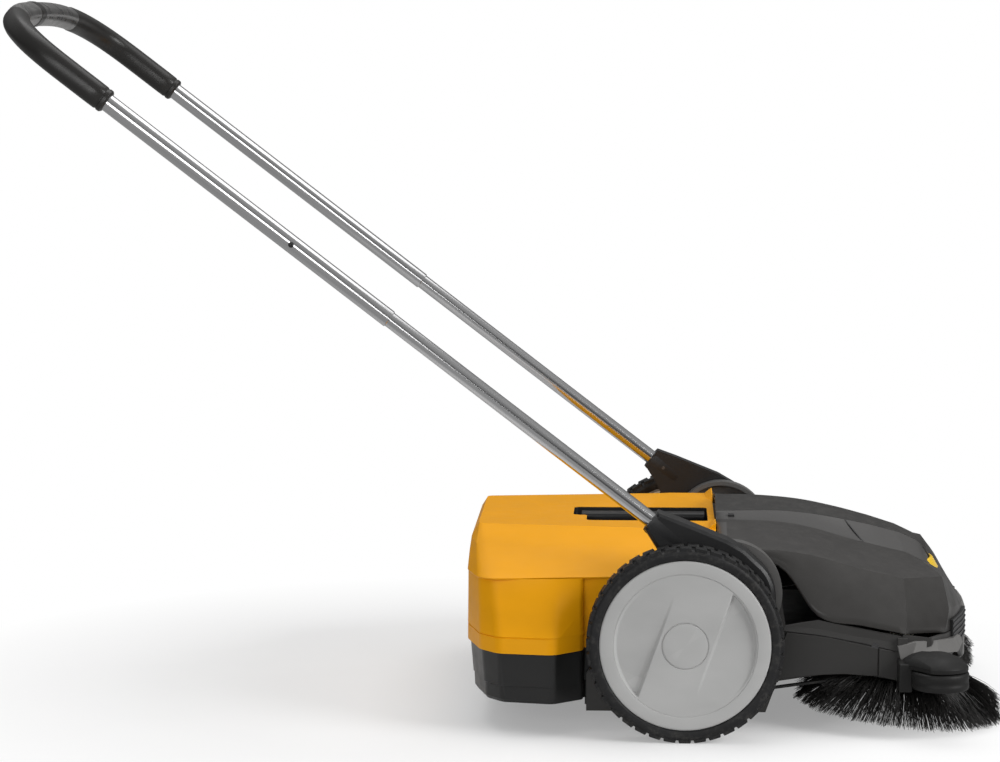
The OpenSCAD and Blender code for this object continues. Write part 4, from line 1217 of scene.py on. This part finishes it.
# ---------------------------------------------------------------- studio
def studio_world():
    """White behind the machine; everything else sees a softbox sky that darkens towards the horizon."""
    world = bpy.data.worlds.new("studio")
    world.use_nodes = True
    tree = world.node_tree
    tree.nodes.clear()
    make = tree.nodes.new
    sky, backdrop, mix, out = (make("ShaderNode" + kind) for kind in ("Background", "Background",
            "MixShader", "OutputWorld"))
    backdrop.inputs["Color"].default_value = (1, 1, 1, 1)
    direction, split, height = (make("ShaderNode" + kind) for kind in ("TexCoord", "SeparateXYZ", "ValToRGB"))
    tree.links.new(direction.outputs["Generated"], split.inputs[0])
    tree.links.new(split.outputs["Z"], height.inputs[0])
    ramp = height.color_ramp.elements
    ramp[0].position, ramp[0].color = 0.0, (0.16, 0.16, 0.16, 1)
    ramp[1].position, ramp[1].color = 0.95, (0.95, 0.95, 0.95, 1)
    for at, level in ((0.22, 0.22), (0.42, 0.55)):
        ramp.new(at).color = (level, level, level, 1)
    tree.links.new(height.outputs["Color"], sky.inputs["Color"])
    sky.inputs["Strength"].default_value = 0.55
    tree.links.new(make("ShaderNodeLightPath").outputs["Is Camera Ray"], mix.inputs[0])
    tree.links.new(sky.outputs[0], mix.inputs[1])
    tree.links.new(backdrop.outputs[0], mix.inputs[2])
    tree.links.new(mix.outputs[0], out.inputs["Surface"])
    return world


def build_studio():
    floor = bpy.data.objects.new("studio_floor", bpy.data.meshes.new("studio_floor"))
    near, far = 12, 30
    floor.data.from_pydata([(-near, -near, 0), (near, -near, 0), (near, far, 0), (-near, far, 0)], [],
                           [(0, 1, 2, 3)])
    floor.data.materials.append(studio_floor("studio_floor"))
    bpy.context.scene.collection.objects.link(floor)
    bpy.context.scene.world = studio_world()

    def soft_light(name, place_at, look_at, size, power):
        data = bpy.data.lights.new(name, "AREA")
        data.shape = "RECTANGLE"
        data.size, data.size_y = size
        data.energy = power
        light = bpy.data.objects.new(name, data)
        light.location = place_at
        light.rotation_euler = (Vector(look_at) - Vector(place_at)).to_track_quat("-Z", "Y").to_euler()
        bpy.context.scene.collection.objects.link(light)

    soft_light("overhead", (0.1, 0.5, 3.0), (0.1, 0.1, 0), (3.2, 2.4), 42)
    soft_light("front_key", (3.2, -1.6, 1.7), (0.2, 0, 0.25), (1.8, 1.8), 96)
    soft_light("camera_fill", (-1.0, -3.6, 1.2), (0, 0, 0.25), (2.4, 1.0), 34)


CAMERA_FROM_AXLE = Vector((-0.0483, -4.7636, 0.9912))
CAMERA_PITCH, CAMERA_YAW = math.radians(6.435), math.radians(2.657)


def build_camera():
    data = bpy.data.cameras.new("camera")
    data.sensor_width = 36
    data.lens = 117.94
    data.clip_end = 60
    camera = bpy.data.objects.new("camera", data)
    camera.location = ORIGIN + CAMERA_FROM_AXLE
    camera.rotation_euler = (math.pi / 2 - CAMERA_PITCH, 0, CAMERA_YAW)
    bpy.context.scene.collection.objects.link(camera)
    bpy.context.scene.camera = camera


build_camera()
build_studio()
bpy.context.scene.view_settings.view_transform = "Standard"
dress_cad_nodes()
build_wheels()
build_brushes()
build_hood()
build_nose_trim()
build_container()
build_carry_grip()
build_chassis_skins()
build_nose()
build_guides()
build_arms_and_tubes()
build_bow()
build_snap_buttons()
